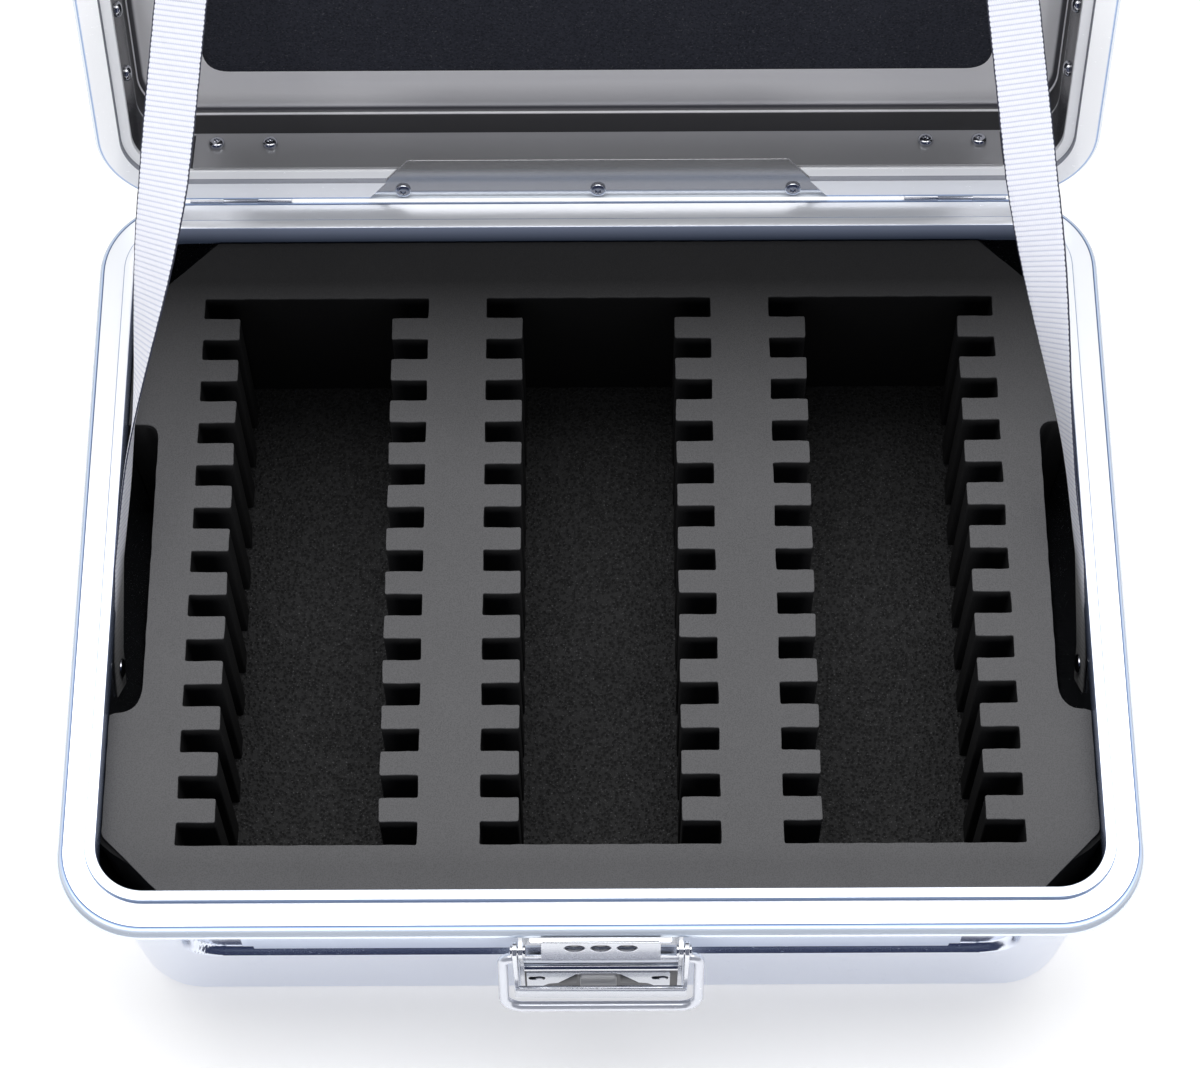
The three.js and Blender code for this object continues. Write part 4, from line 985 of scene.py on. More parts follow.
@dataclass
class RimFrames:
    """The two extruded frames: a round outer bead, a flat band, a lip or its recess, and a skirt."""

    bead: float = 3.0
    bead_depth: float = 6.5
    band_end: float = 15.0
    inner: float = 21.0
    lip: float = 3.0
    recess: float = 3.4
    skirt_depth: float = 31.0
    skirt_inset: float = 9.5
    skirt_top: float = 4.0
    wall: float = 2.2
    floor: float = 14.3
    lining_depth: float = 36.2
    lining_wall: float = 1.4
    recess_room: float = 0.45
    front_bead: float = 2.7
    front_margin: float = 4.2
    pocket_depth: float = 4.5
    pocket_half: float = 135.9
    pocket_slope: float = 0.842
    pocket_reach: float = 29.8
    straight_half: float = 243.0

    def bead_points(self) -> Points:
        """The bead's outside: two quarter circles, from the skirt round to the band, as [inset, depth]."""
        turn = np.linspace(0, math.pi / 2, 9)
        low = self.bead_depth - self.bead
        under = np.stack([self.bead - self.bead * np.sin(turn), low + self.bead * np.cos(turn)], axis=1)
        over = np.stack([self.bead - self.bead * np.cos(turn), self.bead - self.bead * np.sin(turn)], axis=1)
        return np.concatenate([under, over])

    def section(self, rest: Sequence[Sequence[float]]) -> Points:
        """A whole section as [inset, depth, front]: skirt and bead kept crisp, other corners a little round.

        Args:
            rest: the corners from the band inwards, as [inset, depth].

        Returns:
            The section, with how much further in each point lies along the front.
        """
        lead = [[self.skirt_inset + self.wall, self.skirt_depth], [self.skirt_inset, self.skirt_depth],
                [self.skirt_top, self.bead_depth]]
        crisp = rounded(np.array(lead, dtype=float), 0.35, 2, closed=False)
        inner = rounded(np.array(rest, dtype=float), 0.4, 3, closed=False)
        bead = self.bead_points()
        over = np.arange(len(bead)) >= len(bead) / 2
        margin = [np.zeros(len(crisp)), np.where(over, self.front_bead * bead[:, 0] / self.bead, 0.0),
                  np.where(inner[:, 0] > self.skirt_inset + self.wall + 0.1, self.front_margin, 0.0)]
        return np.column_stack([np.concatenate([crisp, bead, inner]), np.concatenate(margin)])

    def body_section(self) -> Points:
        """The body frame's section, with the raised lip."""
        return self.section([[self.band_end, 0], [self.band_end, -self.lip], [self.inner, -self.lip],
                             [self.inner, self.floor], [self.skirt_inset + self.wall, self.floor]])

    def lid_section(self) -> Points:
        """The lid frame's section, with the recess that takes the body's lip and a lining skirt."""
        start = self.band_end - self.recess_room
        lining = self.inner - self.lining_wall
        return self.section([[start, 0], [start, self.recess], [self.inner, self.recess],
                             [self.inner, self.lining_depth], [lining, self.lining_depth], [lining, self.floor],
                             [self.skirt_inset + self.wall, self.floor]])

    def pocket(self, points: Points) -> Points:
        """Cuts the cover plate's pocket into the rear of the lid's frame.

        The columns first lean in with the plate's slanted ends: each x shrinks by the slope times the reach,
        shared out so that the middle and the corners stay. Points inside the plate's outline then go down to
        the pocket's floor.

        Args:
            points: the shut lid frame's points.

        Returns:
            The moved points.
        """
        moved = points.copy()
        x, y, z = points[..., 0], points[..., 1], points[..., 2]
        reach = np.clip(SIZES.half_depth - y - 0.9, 0, self.pocket_reach)
        size = np.abs(x)
        share = np.minimum(size / self.pocket_half,
                           (self.straight_half - size) / (self.straight_half - self.pocket_half))
        share = np.where(y > 0, np.clip(share, 0, 1), 0)
        moved[..., 0] = x - np.sign(x) * self.pocket_slope * reach * share
        inside = (size < self.pocket_half + 0.01) & (y > 0) & (SIZES.half_depth - y > 0.6)
        moved[..., 2] = np.where(inside, np.maximum(z, SIZES.lid_band_z + self.pocket_depth), z)
        return moved

    def side_x(self) -> Points:
        """Places along X for the front and rear sides: even, and close together at the pocket's ends."""
        marks = [sign * (self.pocket_half + d) for sign in (-1, 1) for d in (-0.6, 0.0, 0.25, 1.0)]
        return np.sort(np.concatenate([np.linspace(-236, 236, 25), marks,
                                       [-self.straight_half, self.straight_half]]))

    def across(self, inset: Points, depth: Points) -> Points:
        """Where each point of a section lies across the frame, from 0 at the skirt to 1 deep inside.

        Outside, it is the inset over 30 up to the inner edge; inside it goes on with the depth.

        Args:
            inset: how far in from the rim's outer edge each point lies.
            depth: how far behind the band.

        Returns:
            One number per point.
        """
        inside = (inset > self.band_end + 1.0) & (depth > 0.4)
        outside = (inset < self.bead + 0.01) | (depth < self.bead_depth)
        value = np.where(outside, inset / 30.0, 0.0)
        return np.where(inside, 0.7 + 0.3 * np.clip(depth / self.lining_depth, 0, 1), value)

    def ring(self, section: Points, base: float, sign: int) -> tuple[Points, list[list[int]], Points]:
        """A section carried round the case.

        Args:
            section: the section as [inset, depth, front].
            base: the band's height.
            sign: which way depth runs along Z.

        Returns:
            The points as a grid, the faces, and a UV pair for each point, with V from its row.
        """
        section[:, 1] = base + sign * section[:, 1]
        grid = around(section, self.side_x())
        columns = grid.shape[1]
        across = self.across(section[:, 0], sign * (section[:, 1] - base))
        uv = np.stack([np.zeros(len(across) * columns), np.repeat(across, columns)], axis=1)
        return grid, grid_faces(len(section), columns, True).tolist(), uv

    def build(self) -> None:
        """Makes both frames."""
        grid, faces, uv = self.ring(self.body_section(), SIZES.band_z, -1)
        surface("body_frame", (grid, faces), CASE, ALUMINIUM, replaces=["body_rim"], uv=uv)
        grid, faces, uv = self.ring(self.lid_section(), SIZES.lid_band_z, 1)
        surface("lid_frame", lifted((self.pocket(grid), faces)), LID, LID_FRAME, replaces=["lid_rim"], uv=uv)


@dataclass
class Pan:
    """A pressed pan with a drafted wall, a round floor edge and a flange."""

    height: float
    wall: float
    wall_inset: float
    radius: float
    fillet: float
    draft: float
    flange_inset: float = 12.0
    floor_ring: float = 24.0
    dense: tuple[float, ...] = ()
    side_x: Points | None = None

    def run(self, inset: float, radius: float, fillet: float, low: float, high: float) -> Points:
        """One skin of the pan, from the middle of the floor up to its top, as [inset, radius, height] rows.

        The floor edge is a quarter circle that ends tangent to the wall, and above it the wall leans out by
        the draft.

        Args:
            inset: the wall's inset at its top.
            radius: the wall's corner radius.
            fillet: the floor edge's radius.
            low: the floor's height.
            high: the skin's top.

        Returns:
            The rows.
        """
        turn = np.linspace(0, math.pi / 2, 15)
        inward = fillet * (1 - np.sin(turn))
        foot = inset + self.draft * (self.height - low - fillet)
        bend = np.stack([foot + inward, radius - inward, low + fillet * (1 - np.cos(turn))], axis=1)
        heights = np.union1d(np.linspace(low + fillet + 2, high, 14), np.array(self.dense))
        heights = heights[(heights > low + fillet + 0.5) & (heights <= high)]
        up = np.stack([inset + self.draft * (self.height - heights), np.full_like(heights, radius), heights],
                      axis=1)
        flat = np.array([[foot + fillet + self.floor_ring, max(radius - fillet - self.floor_ring, 2.0), low]])
        return np.concatenate([flat, bend, up])

    def rows(self) -> Points:
        """Both skins and the flange as one row of loops."""
        top = self.height
        outer = self.run(self.wall_inset, self.radius, self.fillet, 0.0, top - self.wall - 0.5)
        flange_radius = SIZES.corner - self.flange_inset
        flange = np.array([[self.wall_inset - 0.6, self.radius, top - self.wall],
                           [self.flange_inset + 0.3, flange_radius, top - self.wall],
                           [self.flange_inset, flange_radius, top - self.wall + 0.3],
                           [self.flange_inset, flange_radius, top - 0.3],
                           [self.flange_inset + 0.3, flange_radius, top],
                           [self.wall_inset + self.wall - 0.8, self.radius - self.wall, top]])
        inner = self.run(self.wall_inset + self.wall, self.radius - self.wall, self.fillet - self.wall,
                         self.wall, top - 0.8)
        rows = np.concatenate([outer, flange, inner[::-1]])
        return raised(perimeter(rows[:, 0], rows[:, 1], self.side_x), rows[:, 2])


@dataclass
class Shells:
    """The body's deep pan with its pressed-in front panel, and the lid's shallow one."""

    panel_half: float = 230.0
    panel_low: float = 81.0
    panel_high: float = 148.0
    panel_inset: float = 23.8
    panel_corner: float = 22.0
    edge_out: float = 0.4
    edge_width: float = 2.6
    lid_depth: float = 60.0

    def press(self, points: Points) -> Points:
        """Presses the front panel in.

        The depth is a smooth step of the signed distance to a rounded rectangle, so the panel has a rounded
        edge all round, and it moves the wall from where it is to the panel's plane.

        Args:
            points: the pan's points.

        Returns:
            The pressed points.
        """
        x, y, z = points[..., 0], points[..., 1], points[..., 2]
        middle = (self.panel_low + self.panel_high) / 2
        qx = np.abs(x) - (self.panel_half - self.panel_corner)
        qz = np.abs(z - middle) - ((self.panel_high - self.panel_low) / 2 - self.panel_corner)
        distance = np.hypot(np.maximum(qx, 0), np.maximum(qz, 0)) + np.minimum(np.maximum(qx, qz), 0)
        share = np.clip((self.panel_corner - distance + self.edge_out) / self.edge_width, 0, 1)
        share = share * share * (3 - 2 * share)
        wall = -SIZES.half_depth + SIZES.body_wall_inset + SIZES.draft * (SIZES.flange_top_z - z)
        front = (y < -SIZES.half_depth + 30) & (z > 60) & (z < 151)
        push = (-SIZES.half_depth + self.panel_inset - wall) * share
        pressed = points.copy()
        pressed[..., 1] = np.where(front, y + push, y)
        return pressed

    def build(self) -> None:
        """Makes both pans.

        The lid's V is its depth, which places the painted reflection and painted shade on its inner wall, and
        its outer skin keeps the plain tone.
        """
        edge = np.arange(227.0, 232.1, 0.6)
        corner = np.arange(207.0, 227.0, 1.6)
        side_x = np.concatenate([-edge[::-1], -corner[::-1], np.linspace(-199, 199, 21), corner, edge])
        dense = tuple(np.concatenate([np.arange(77.2, 84.7, 0.6), np.arange(86.0, 106.0, 1.6),
                                      np.arange(126.0, 144.0, 1.8), np.arange(145.0, 150.0, 0.7)]))
        body = Pan(SIZES.flange_top_z, 2.0, SIZES.body_wall_inset, 42.0, 18.0, SIZES.draft, dense=dense,
                   side_x=side_x)
        surface("body_pan", capped(self.press(body.rows())), CASE, PAN_METAL, replaces=["body_shell"])
        height = SIZES.lid_top_z - SIZES.lid_band_z - 14.6
        lid = Pan(height, 1.6, SIZES.lid_wall_inset, SIZES.corner - SIZES.lid_wall_inset, 8.0, SIZES.lid_draft)
        rows = lid.rows()
        outside = int(np.argmax(rows[:, 0, 2])) * rows.shape[1]
        rows[..., 2] = SIZES.lid_top_z - rows[..., 2]
        depth = (rows[..., 2].ravel() - SIZES.lid_band_z) / self.lid_depth
        depth[:outside] = 1.0
        surface("lid_pan", lifted(capped(rows)), LID, LINING, replaces=["lid_shell"],
                uv=np.stack([np.zeros(len(depth)), depth], axis=1))


# Foam and pad


@dataclass
class FoamInsert:
    """The charcoal insert: three bays, each with a comb of slots down both sides, and a recess each side."""

    side_inset: float = 21.4
    front_y: float = -202.3
    front_cut: float = 36.0
    rear_cut: float = 47.0
    bays: int = 3
    outer_rib: float = 40.1
    middle_rib: float = 33.9
    front_rib: float = 29.8
    rear_rib: float = 38.6
    slots: int = 13
    slot_share: float = 0.4945
    reach_share: float = 0.161
    notch_length: float = 180.0
    notch_depth: float = 17.5
    notch_low_curve: float = 17.0
    notch_high_curve: float = 9.0
    notch_centre: float = -4.5
    edge: float = 0.35
    wider: float = 4.0
    wander: float = 0.10
    step: float = 5.0

    @property
    def half_x(self) -> float:
        """Half of the insert's width at its top."""
        return SIZES.half_width - self.side_inset

    @property
    def bay_width(self) -> float:
        """A bay's width over both combs."""
        ribs = 2 * self.outer_rib + (self.bays - 1) * self.middle_rib
        return (2 * self.half_x - ribs) / self.bays

    @property
    def pitch(self) -> tuple[float, float, float]:
        """The first slot's front edge, the slots' pitch and a slot's width."""
        front = self.front_y + self.front_rib
        span = SIZES.half_depth - self.side_inset - self.rear_rib - front
        pitch = span / (self.slots - 1 + self.slot_share)
        return front, pitch, pitch * self.slot_share

    def bay(self, centre: float) -> Points:
        """One bay's outline, clockwise, so that the foam lies outside it.

        Each slot gives four corners on the right side, from front to rear, and the left side mirrors them.

        Args:
            centre: the bay's place along X.

        Returns:
            The outline.
        """
        front, pitch, width = self.pitch
        deep = self.bay_width / 2
        shallow = deep - self.bay_width * self.reach_share
        y = front + pitch * np.arange(self.slots)[:, None]
        xs = np.array([shallow, deep, deep, shallow])[None, :]
        ys = y + np.array([0, 0, width, width])[None, :]
        right = np.stack([np.broadcast_to(xs, ys.shape), ys], axis=-1).reshape(-1, 2)[1:-1]
        left = right[::-1] * [-1, 1]
        outline = np.concatenate([right, left]) + [centre, 0]
        return self.worn(outline, 1.2)[::-1]

    def outside(self) -> Points:
        """The insert's outline, anticlockwise: a rectangle with cut corners and a recess on each side.

        The recess's two inner corners are quadratic curves, wide at the front and narrower at the rear.
        """
        rear = SIZES.half_depth - self.side_inset
        half, front = self.half_x, self.front_y
        low, high = (self.notch_centre - self.notch_length / 2, self.notch_centre + self.notch_length / 2)
        wall = half - self.notch_depth
        near = bent(*np.array([[half - 3.0, low], [wall, low], [wall, low + self.notch_low_curve]]), 8)
        far = bent(*np.array([[wall, high - self.notch_high_curve], [wall, high],
                              [wall + self.notch_high_curve, high]]), 8)
        front_end = np.array([[half - self.front_cut, front], [half, front + self.front_cut], [half, low]])
        rear_end = np.array([[half, high], [half, rear - self.rear_cut], [half - self.rear_cut, rear]])
        right = np.concatenate([rounded(front_end, 2.6, 3, closed=False), near, far,
                                rounded(rear_end, 2.6, 3, closed=False)])
        apart = np.linalg.norm(np.diff(right, axis=0, prepend=right[:1] - 2.0), axis=1) > 1.0
        right = right[apart]
        return self.worn(np.concatenate([right, right[::-1] * [-1, 1]]), 0.0)

    def worn(self, outline: Points, corner: float) -> Points:
        """Cuts an outline into short steps and lets it wander a little, as foam does under a knife.

        The wander is a sum of three sines of the place, so that equal places move by equal amounts.

        Args:
            outline: the outline, N by 2.
            corner: how far back its corners are rounded.

        Returns:
            The outline with more points.
        """
        if corner > 0:
            outline = rounded(outline, corner, 3)
        ends = np.roll(outline, -1, axis=0)
        counts = np.maximum(np.round(np.linalg.norm(ends - outline, axis=1) / self.step).astype(int), 1)
        start = np.repeat(np.arange(len(outline)), counts)
        share = (np.arange(counts.sum()) - np.repeat(np.cumsum(counts) - counts, counts)) / counts[start]
        points = outline[start] + (ends - outline)[start] * share[:, None]
        x, y = points[:, 0], points[:, 1]
        wave = np.stack([np.sin(0.31 * y + 0.05 * x) + 0.6 * np.sin(0.83 * y + 1.0)
                         + 0.4 * np.sin(0.19 * y - 0.4 * x),
                         np.sin(0.27 * x - 0.04 * y) + 0.6 * np.sin(0.71 * x + 2.0)
                         + 0.4 * np.sin(0.37 * x + 0.3 * y)], axis=1)
        return points + self.wander * wave

    def widened(self, outline: Points) -> Points:
        """Moves the outer edges out to the pan's walls, below the frame's inner edge."""
        x, y = outline[:, 0], outline[:, 1]
        out_x = np.clip((np.abs(x) - self.half_x + 16) / 8, 0, 1)
        out_y = np.clip((y - 190) / 16, 0, 1)
        return np.stack([x + np.sign(x) * self.wider * out_x, y + self.wider * out_y], axis=1)

    def rings(self, outline: Points, levels: Sequence[float]) -> list[Points]:
        """Rings of one outline: straight walls, a rounded top edge and a ring that keeps the top flat.

        Args:
            outline: the outline at the top.
            levels: heights of the rings below the rounded edge.

        Returns:
            The rings from the bottom to the top.
        """
        turn = np.linspace(0, math.pi / 2, 4)
        insets = np.concatenate([np.zeros(len(levels)), self.edge * (1 - np.cos(turn)), [self.edge + 0.15]])
        rise = np.concatenate([levels, SIZES.foam_top - self.edge * (1 - np.sin(turn)), [SIZES.foam_top]])
        return list(stacked(outline, insets, rise))

    def build(self) -> None:
        """Makes the insert from the rings of its outside and of its bays."""
        low = SIZES.foam_floor + 0.4
        shoulder = SIZES.flange_top_z - 0.2
        outline = self.outside()
        top = self.rings(outline, [shoulder + 0.15])
        wide = self.widened(outline)
        lean = SIZES.draft * (SIZES.flange_top_z - low)
        foot = wide * [1 - lean / self.half_x, 1 - lean / SIZES.half_depth]
        foot[:, 1] = np.maximum(foot[:, 1], self.front_y)
        under = [np.column_stack([foot, np.full(len(foot), low)]),
                 np.column_stack([wide, np.full(len(wide), shoulder)])]
        levels = [low, 72.0, 100.0, 128.0, 148.0]
        step = self.bay_width + self.middle_rib
        middles = [(k - (self.bays - 1) / 2) * step for k in range(self.bays)]
        mesh = pierced("insert_foam", [under + top] + [self.rings(self.bay(x), levels) for x in middles])
        piece = place("insert_foam", mesh, CASE, INSERT_FOAM, replaces=["foam_insert"])


@dataclass
class FloorFoam:
    """The coarse foam that shows as the floor of the bays."""

    top: float = 44.4
    low: float = 2.6
    front_cut: float = 40.0
    rear_cut: float = 55.0

    def build(self) -> None:
        """Makes the pad as a stack of rectangles with cut corners, narrower where the pan's edge is round."""
        stack = [(38.4, self.low), (31.0, 6.0), (27.6, 10.0), (25.4, 18.5), (24.5, self.top - 1.2),
                 (24.8, self.top - 0.3), (25.6, self.top)]
        outlines = []
        for inset, _ in stack:
            half_x, half_y = SIZES.half_width - inset, SIZES.half_depth - inset
            front = -min(half_y, 202.3)
            right = [[half_x - self.front_cut, front], [half_x, front + self.front_cut],
                     [half_x, half_y - self.rear_cut], [half_x - self.rear_cut, half_y]]
            outlines.append(rounded(np.array(right + [[-x, y] for x, y in right[::-1]]), 3.0))
        rows = raised(np.stack(outlines), np.array(stack)[:, 1])
        piece = surface("floor_foam", capped(rows), CASE, FLOOR_FOAM, sharp=60, replaces=["foam_base"])


@dataclass
class LidPad:
    """The soft speckled pad on the lid's inner panel, crowned in the middle and rolled at its edges."""

    half_x: float = 231.5
    half_y: float = 172.5
    thickness: float = 10.0
    corner: float = 15.0
    face_z: float = 215.5
    edge: float = 4.0
    crown: float = 0.9
    crown_reach: float = 170.0

    def build(self) -> None:
        """Makes the pad from rings of one rounded outline.

        The edge is a quarter circle, and from there the face rises by the sine of the share of the way to
        the middle.
        """
        turn = np.linspace(0, math.pi / 2, 7)
        face = np.linspace(9.0, 165.0, 22)
        inward = np.concatenate([[0.0], self.edge * (1 - np.cos(turn)), face])
        down = np.concatenate([self.edge * (1 - np.sin(turn)), np.zeros(len(face))])
        crown = self.crown * (1 - np.sin(np.clip(inward[1:] / self.crown_reach, 0, 1) * math.pi / 2))
        heights = np.concatenate([[self.face_z + self.thickness], self.face_z + down + crown])
        outlines = [box_outline(d - self.half_x, self.half_x - d, d - self.half_y, self.half_y - d,
                                max(self.corner - d * 0.6, 3.0), 8) for d in inward]
        rows = raised(np.stack(outlines), heights)
        piece = surface("lid_pad_cover", lifted(capped(rows)), LID, PAD_FOAM, sharp=60, replaces=["lid_pad"])


# Straps

BOW = ((0, 0.1, 0.22, 0.34, 0.5), (0, 1, 0.96, 0.6, 0))


@dataclass
class Strap:
    """A taut webbing strap: flat on the side wall at its foot, turned to face the front, flat on the pad."""

    side: Side
    width: float = 28.5
    thickness: float = 1.5
    foot_y: float = -52.0
    foot_z: float = 120.0
    head_x: float = 200.0
    head_reach: float = 336.0
    tail: float = 13.0
    flat: float = 8.0
    pad_z: float = 215.5
    ridge: float = 2.9
    twist: tuple[float, float] = (0.165, 0.605)
    bow: float = 4.6

    def on_pad(self, reach: float, rise: float) -> Points:
        """A point on the open lid's pad, at a distance from the hinge pins and a height above the pad."""
        shut = np.array([self.side.value * self.head_x, SIZES.axis_y - reach, self.pad_z - rise])
        return SIZES.opened(shut)

    def on_wall(self, way: Points, reach: float) -> Points:
        """A point on the side wall, at a distance along the strap's way up from its foot."""
        point = np.array([0.0, self.foot_y, self.foot_z]) + way * reach
        point[0] = self.side.value * (SIZES.half_width - SIZES.inner_inset(point[2]) - 0.3 - self.thickness / 2)
        return point

    def path(self) -> tuple[Points, Points]:
        """The centre line, and at each point the share of the turn from the wall to the front.

        The line is straight but for a slight outward bow over the frame's inner edge, which BOW gives as
        shares of the way and of the bow.

        Returns:
            Points and turn shares.
        """
        rise = 0.3 + self.thickness / 2
        head = self.on_pad(self.head_reach, rise + self.thickness / 2)
        way = head - [head[0], self.foot_y, self.foot_z]
        way /= np.linalg.norm(way)
        foot = self.on_wall(way, self.flat)
        share = np.linspace(0, 1, 150)
        middle = foot + (head - foot) * share[:, None]
        middle[:, 0] += self.side.value * self.bow * np.interp(share, *BOW)
        low = np.stack([self.on_wall(way, d) for d in (-self.tail, -self.tail / 2, 0.0)])
        high = np.stack([self.on_pad(self.head_reach + d, rise) for d in (self.tail, 1.5 * self.tail,
                                                                         2 * self.tail)])
        points = np.concatenate([low, middle, high])
        t = np.clip((share - self.twist[0]) / (self.twist[1] - self.twist[0]), 0, 1)
        turn = np.concatenate([np.zeros(3), t * t * (3 - 2 * t), np.ones(3)])
        return points, turn

    def build(self) -> None:
        """Makes the strap, and its rivets at both ends.

        At each point the across direction swings from the wall's plane to the case's X, made square to the
        strap's way. The edges wander by the weave, and V counts the cross ridges by the length walked.
        """
        points, turn = self.path()
        along = np.gradient(points, axis=0)
        along /= np.linalg.norm(along, axis=1, keepdims=True)
        normal = np.array([self.side.value, 0, -SIZES.draft])
        across = np.cross(np.broadcast_to(normal, along.shape), along)
        across /= np.linalg.norm(across, axis=1, keepdims=True)
        across = across * np.cos(turn * math.pi / 2)[:, None]
        across[:, 0] += self.side.value * np.sin(turn * math.pi / 2)
        across -= along * (across * along).sum(axis=1, keepdims=True)
        across /= np.linalg.norm(across, axis=1, keepdims=True)
        face = np.cross(along, across)
        walked = np.concatenate([[0], np.cumsum(np.linalg.norm(np.diff(points, axis=0), axis=1))])
        u = np.linspace(-1, 1, 13)
        thin = 0.5 * np.where(np.abs(u) > 0.99, 0.45, 1.0)
        ring_u = np.concatenate([u, u[::-1]])
        ring_v = np.concatenate([-thin, thin])
        scallop = 1 - 0.012 * (1 - np.abs(np.sin(walked / self.ridge * math.pi)))
        rows = points[:, None] + across[:, None] * (ring_u[None, :, None] * scallop[:, None, None]
                                                    * self.width / 2)
        rows = rows + face[:, None] * (ring_v[None, :, None] * self.thickness)
        uv = np.stack([np.broadcast_to((ring_u + 1) / 2, rows.shape[:2]),
                       np.broadcast_to((walked / self.ridge)[:, None], rows.shape[:2])], axis=-1).reshape(-1, 2)
        name = f"webbing_{self.side.word}"
        piece = surface(name, capped(rows), None, WEBBING, sharp=60, replaces=[f"strap_{self.side.word}"],
                        uv=uv)
        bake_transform(piece)
        self.rivets()

    def rivets(self) -> None:
        """A dome-headed rivet through each end."""
        sign = self.side.value
        seat = SIZES.half_width - SIZES.inner_inset(self.foot_z) - self.thickness - 0.5
        dome = Rivet(5.5, 2.6)
        foot = dome.solid([sign * seat, self.foot_y, self.foot_z], [-sign, 0, 0])
        surface(f"strap_foot_rivet_head_{self.side.word}", foot, CASE, STEEL, sharp=40,
                replaces=[f"strap_foot_rivet_{self.side.word}"])
        shut = [sign * self.head_x, SIZES.axis_y - self.head_reach - self.tail,
                self.pad_z - self.thickness - 0.5]
        surface(f"strap_head_rivet_head_{self.side.word}", lifted(dome.solid(shut, [0, 0, -1])), LID, STEEL,
                sharp=40, replaces=[f"strap_head_rivet_{self.side.word}"])


# Fasteners


@dataclass(frozen=True)
class Rivet:
    """A dome-headed rivet."""

    radius: float
    height: float

    def solid(self, seat: Sequence[float], way: Sequence[float]) -> Solid:
        """The head: a short straight edge, then a flattened ellipse up to its top.

        Args:
            seat: where the head's underside meets its axis.
            way: the direction that the head rises in.

        Returns:
            The solid.
        """
        turn = np.linspace(0, math.pi / 2 * 0.97, 9)
        low = self.height * 0.25
        dome = np.stack([low + (self.height - low) * np.sin(turn), self.radius * np.cos(turn)], axis=1)
        profile = np.concatenate([[[0, self.radius]], dome])
        return turned(profile, seat, way, 36)


@dataclass(frozen=True)
class PanScrew:
    """A pan-head screw with a six-lobed socket."""

    radius: float = 4.6
    height: float = 3.4
    socket: float = 1.8
    depth: float = 1.3
    shank: float = 2.1
    shank_length: float = 1.4
    swell: float = 0.14
    sides: int = 48

    def solid(self, seat: Sequence[float], way: Sequence[float]) -> Solid:
        """Head, socket and a short shank below the seat.

        The socket's radius swells and shrinks by a cosine of six times the angle, which gives its lobes.

        Args:
            seat: where the head's underside meets its axis.
            way: the direction that the head rises in.

        Returns:
            The solid.
        """
        turn = np.linspace(0, math.pi / 2, 8)[1:]
        low = self.height * 0.35
        flat = self.socket * 1.35
        dome = np.stack([low + (self.height - low) * np.sin(turn), flat + (self.radius - flat) * np.cos(turn)],
                        axis=1)
        top = self.height
        lead = np.array([[-self.shank_length, self.shank], [0, self.shank], [0, self.radius - 0.1],
                         [0.12, self.radius], [low, self.radius]])
        pit = np.array([[top, self.socket], [top - 0.12, self.socket * 0.94],
                        [top - self.depth, self.socket * 0.9], [top - self.depth - 0.2, self.socket * 0.5]])
        points, faces = turned(np.concatenate([lead, dome, pit]), [0, 0, 0], [0, 0, 1], self.sides)
        rows = points.reshape(-1, self.sides, 3)
        angle = np.linspace(0, 2 * math.pi, self.sides, endpoint=False)
        rows[-len(pit):, :, :2] *= (1 + self.swell * np.cos(6 * angle))[None, :, None]
        basis = np.array(Vector(way).to_track_quat("Z", "Y").to_matrix())
        return rows.reshape(-1, 3) @ basis.T + np.asarray(seat), faces


# Plates


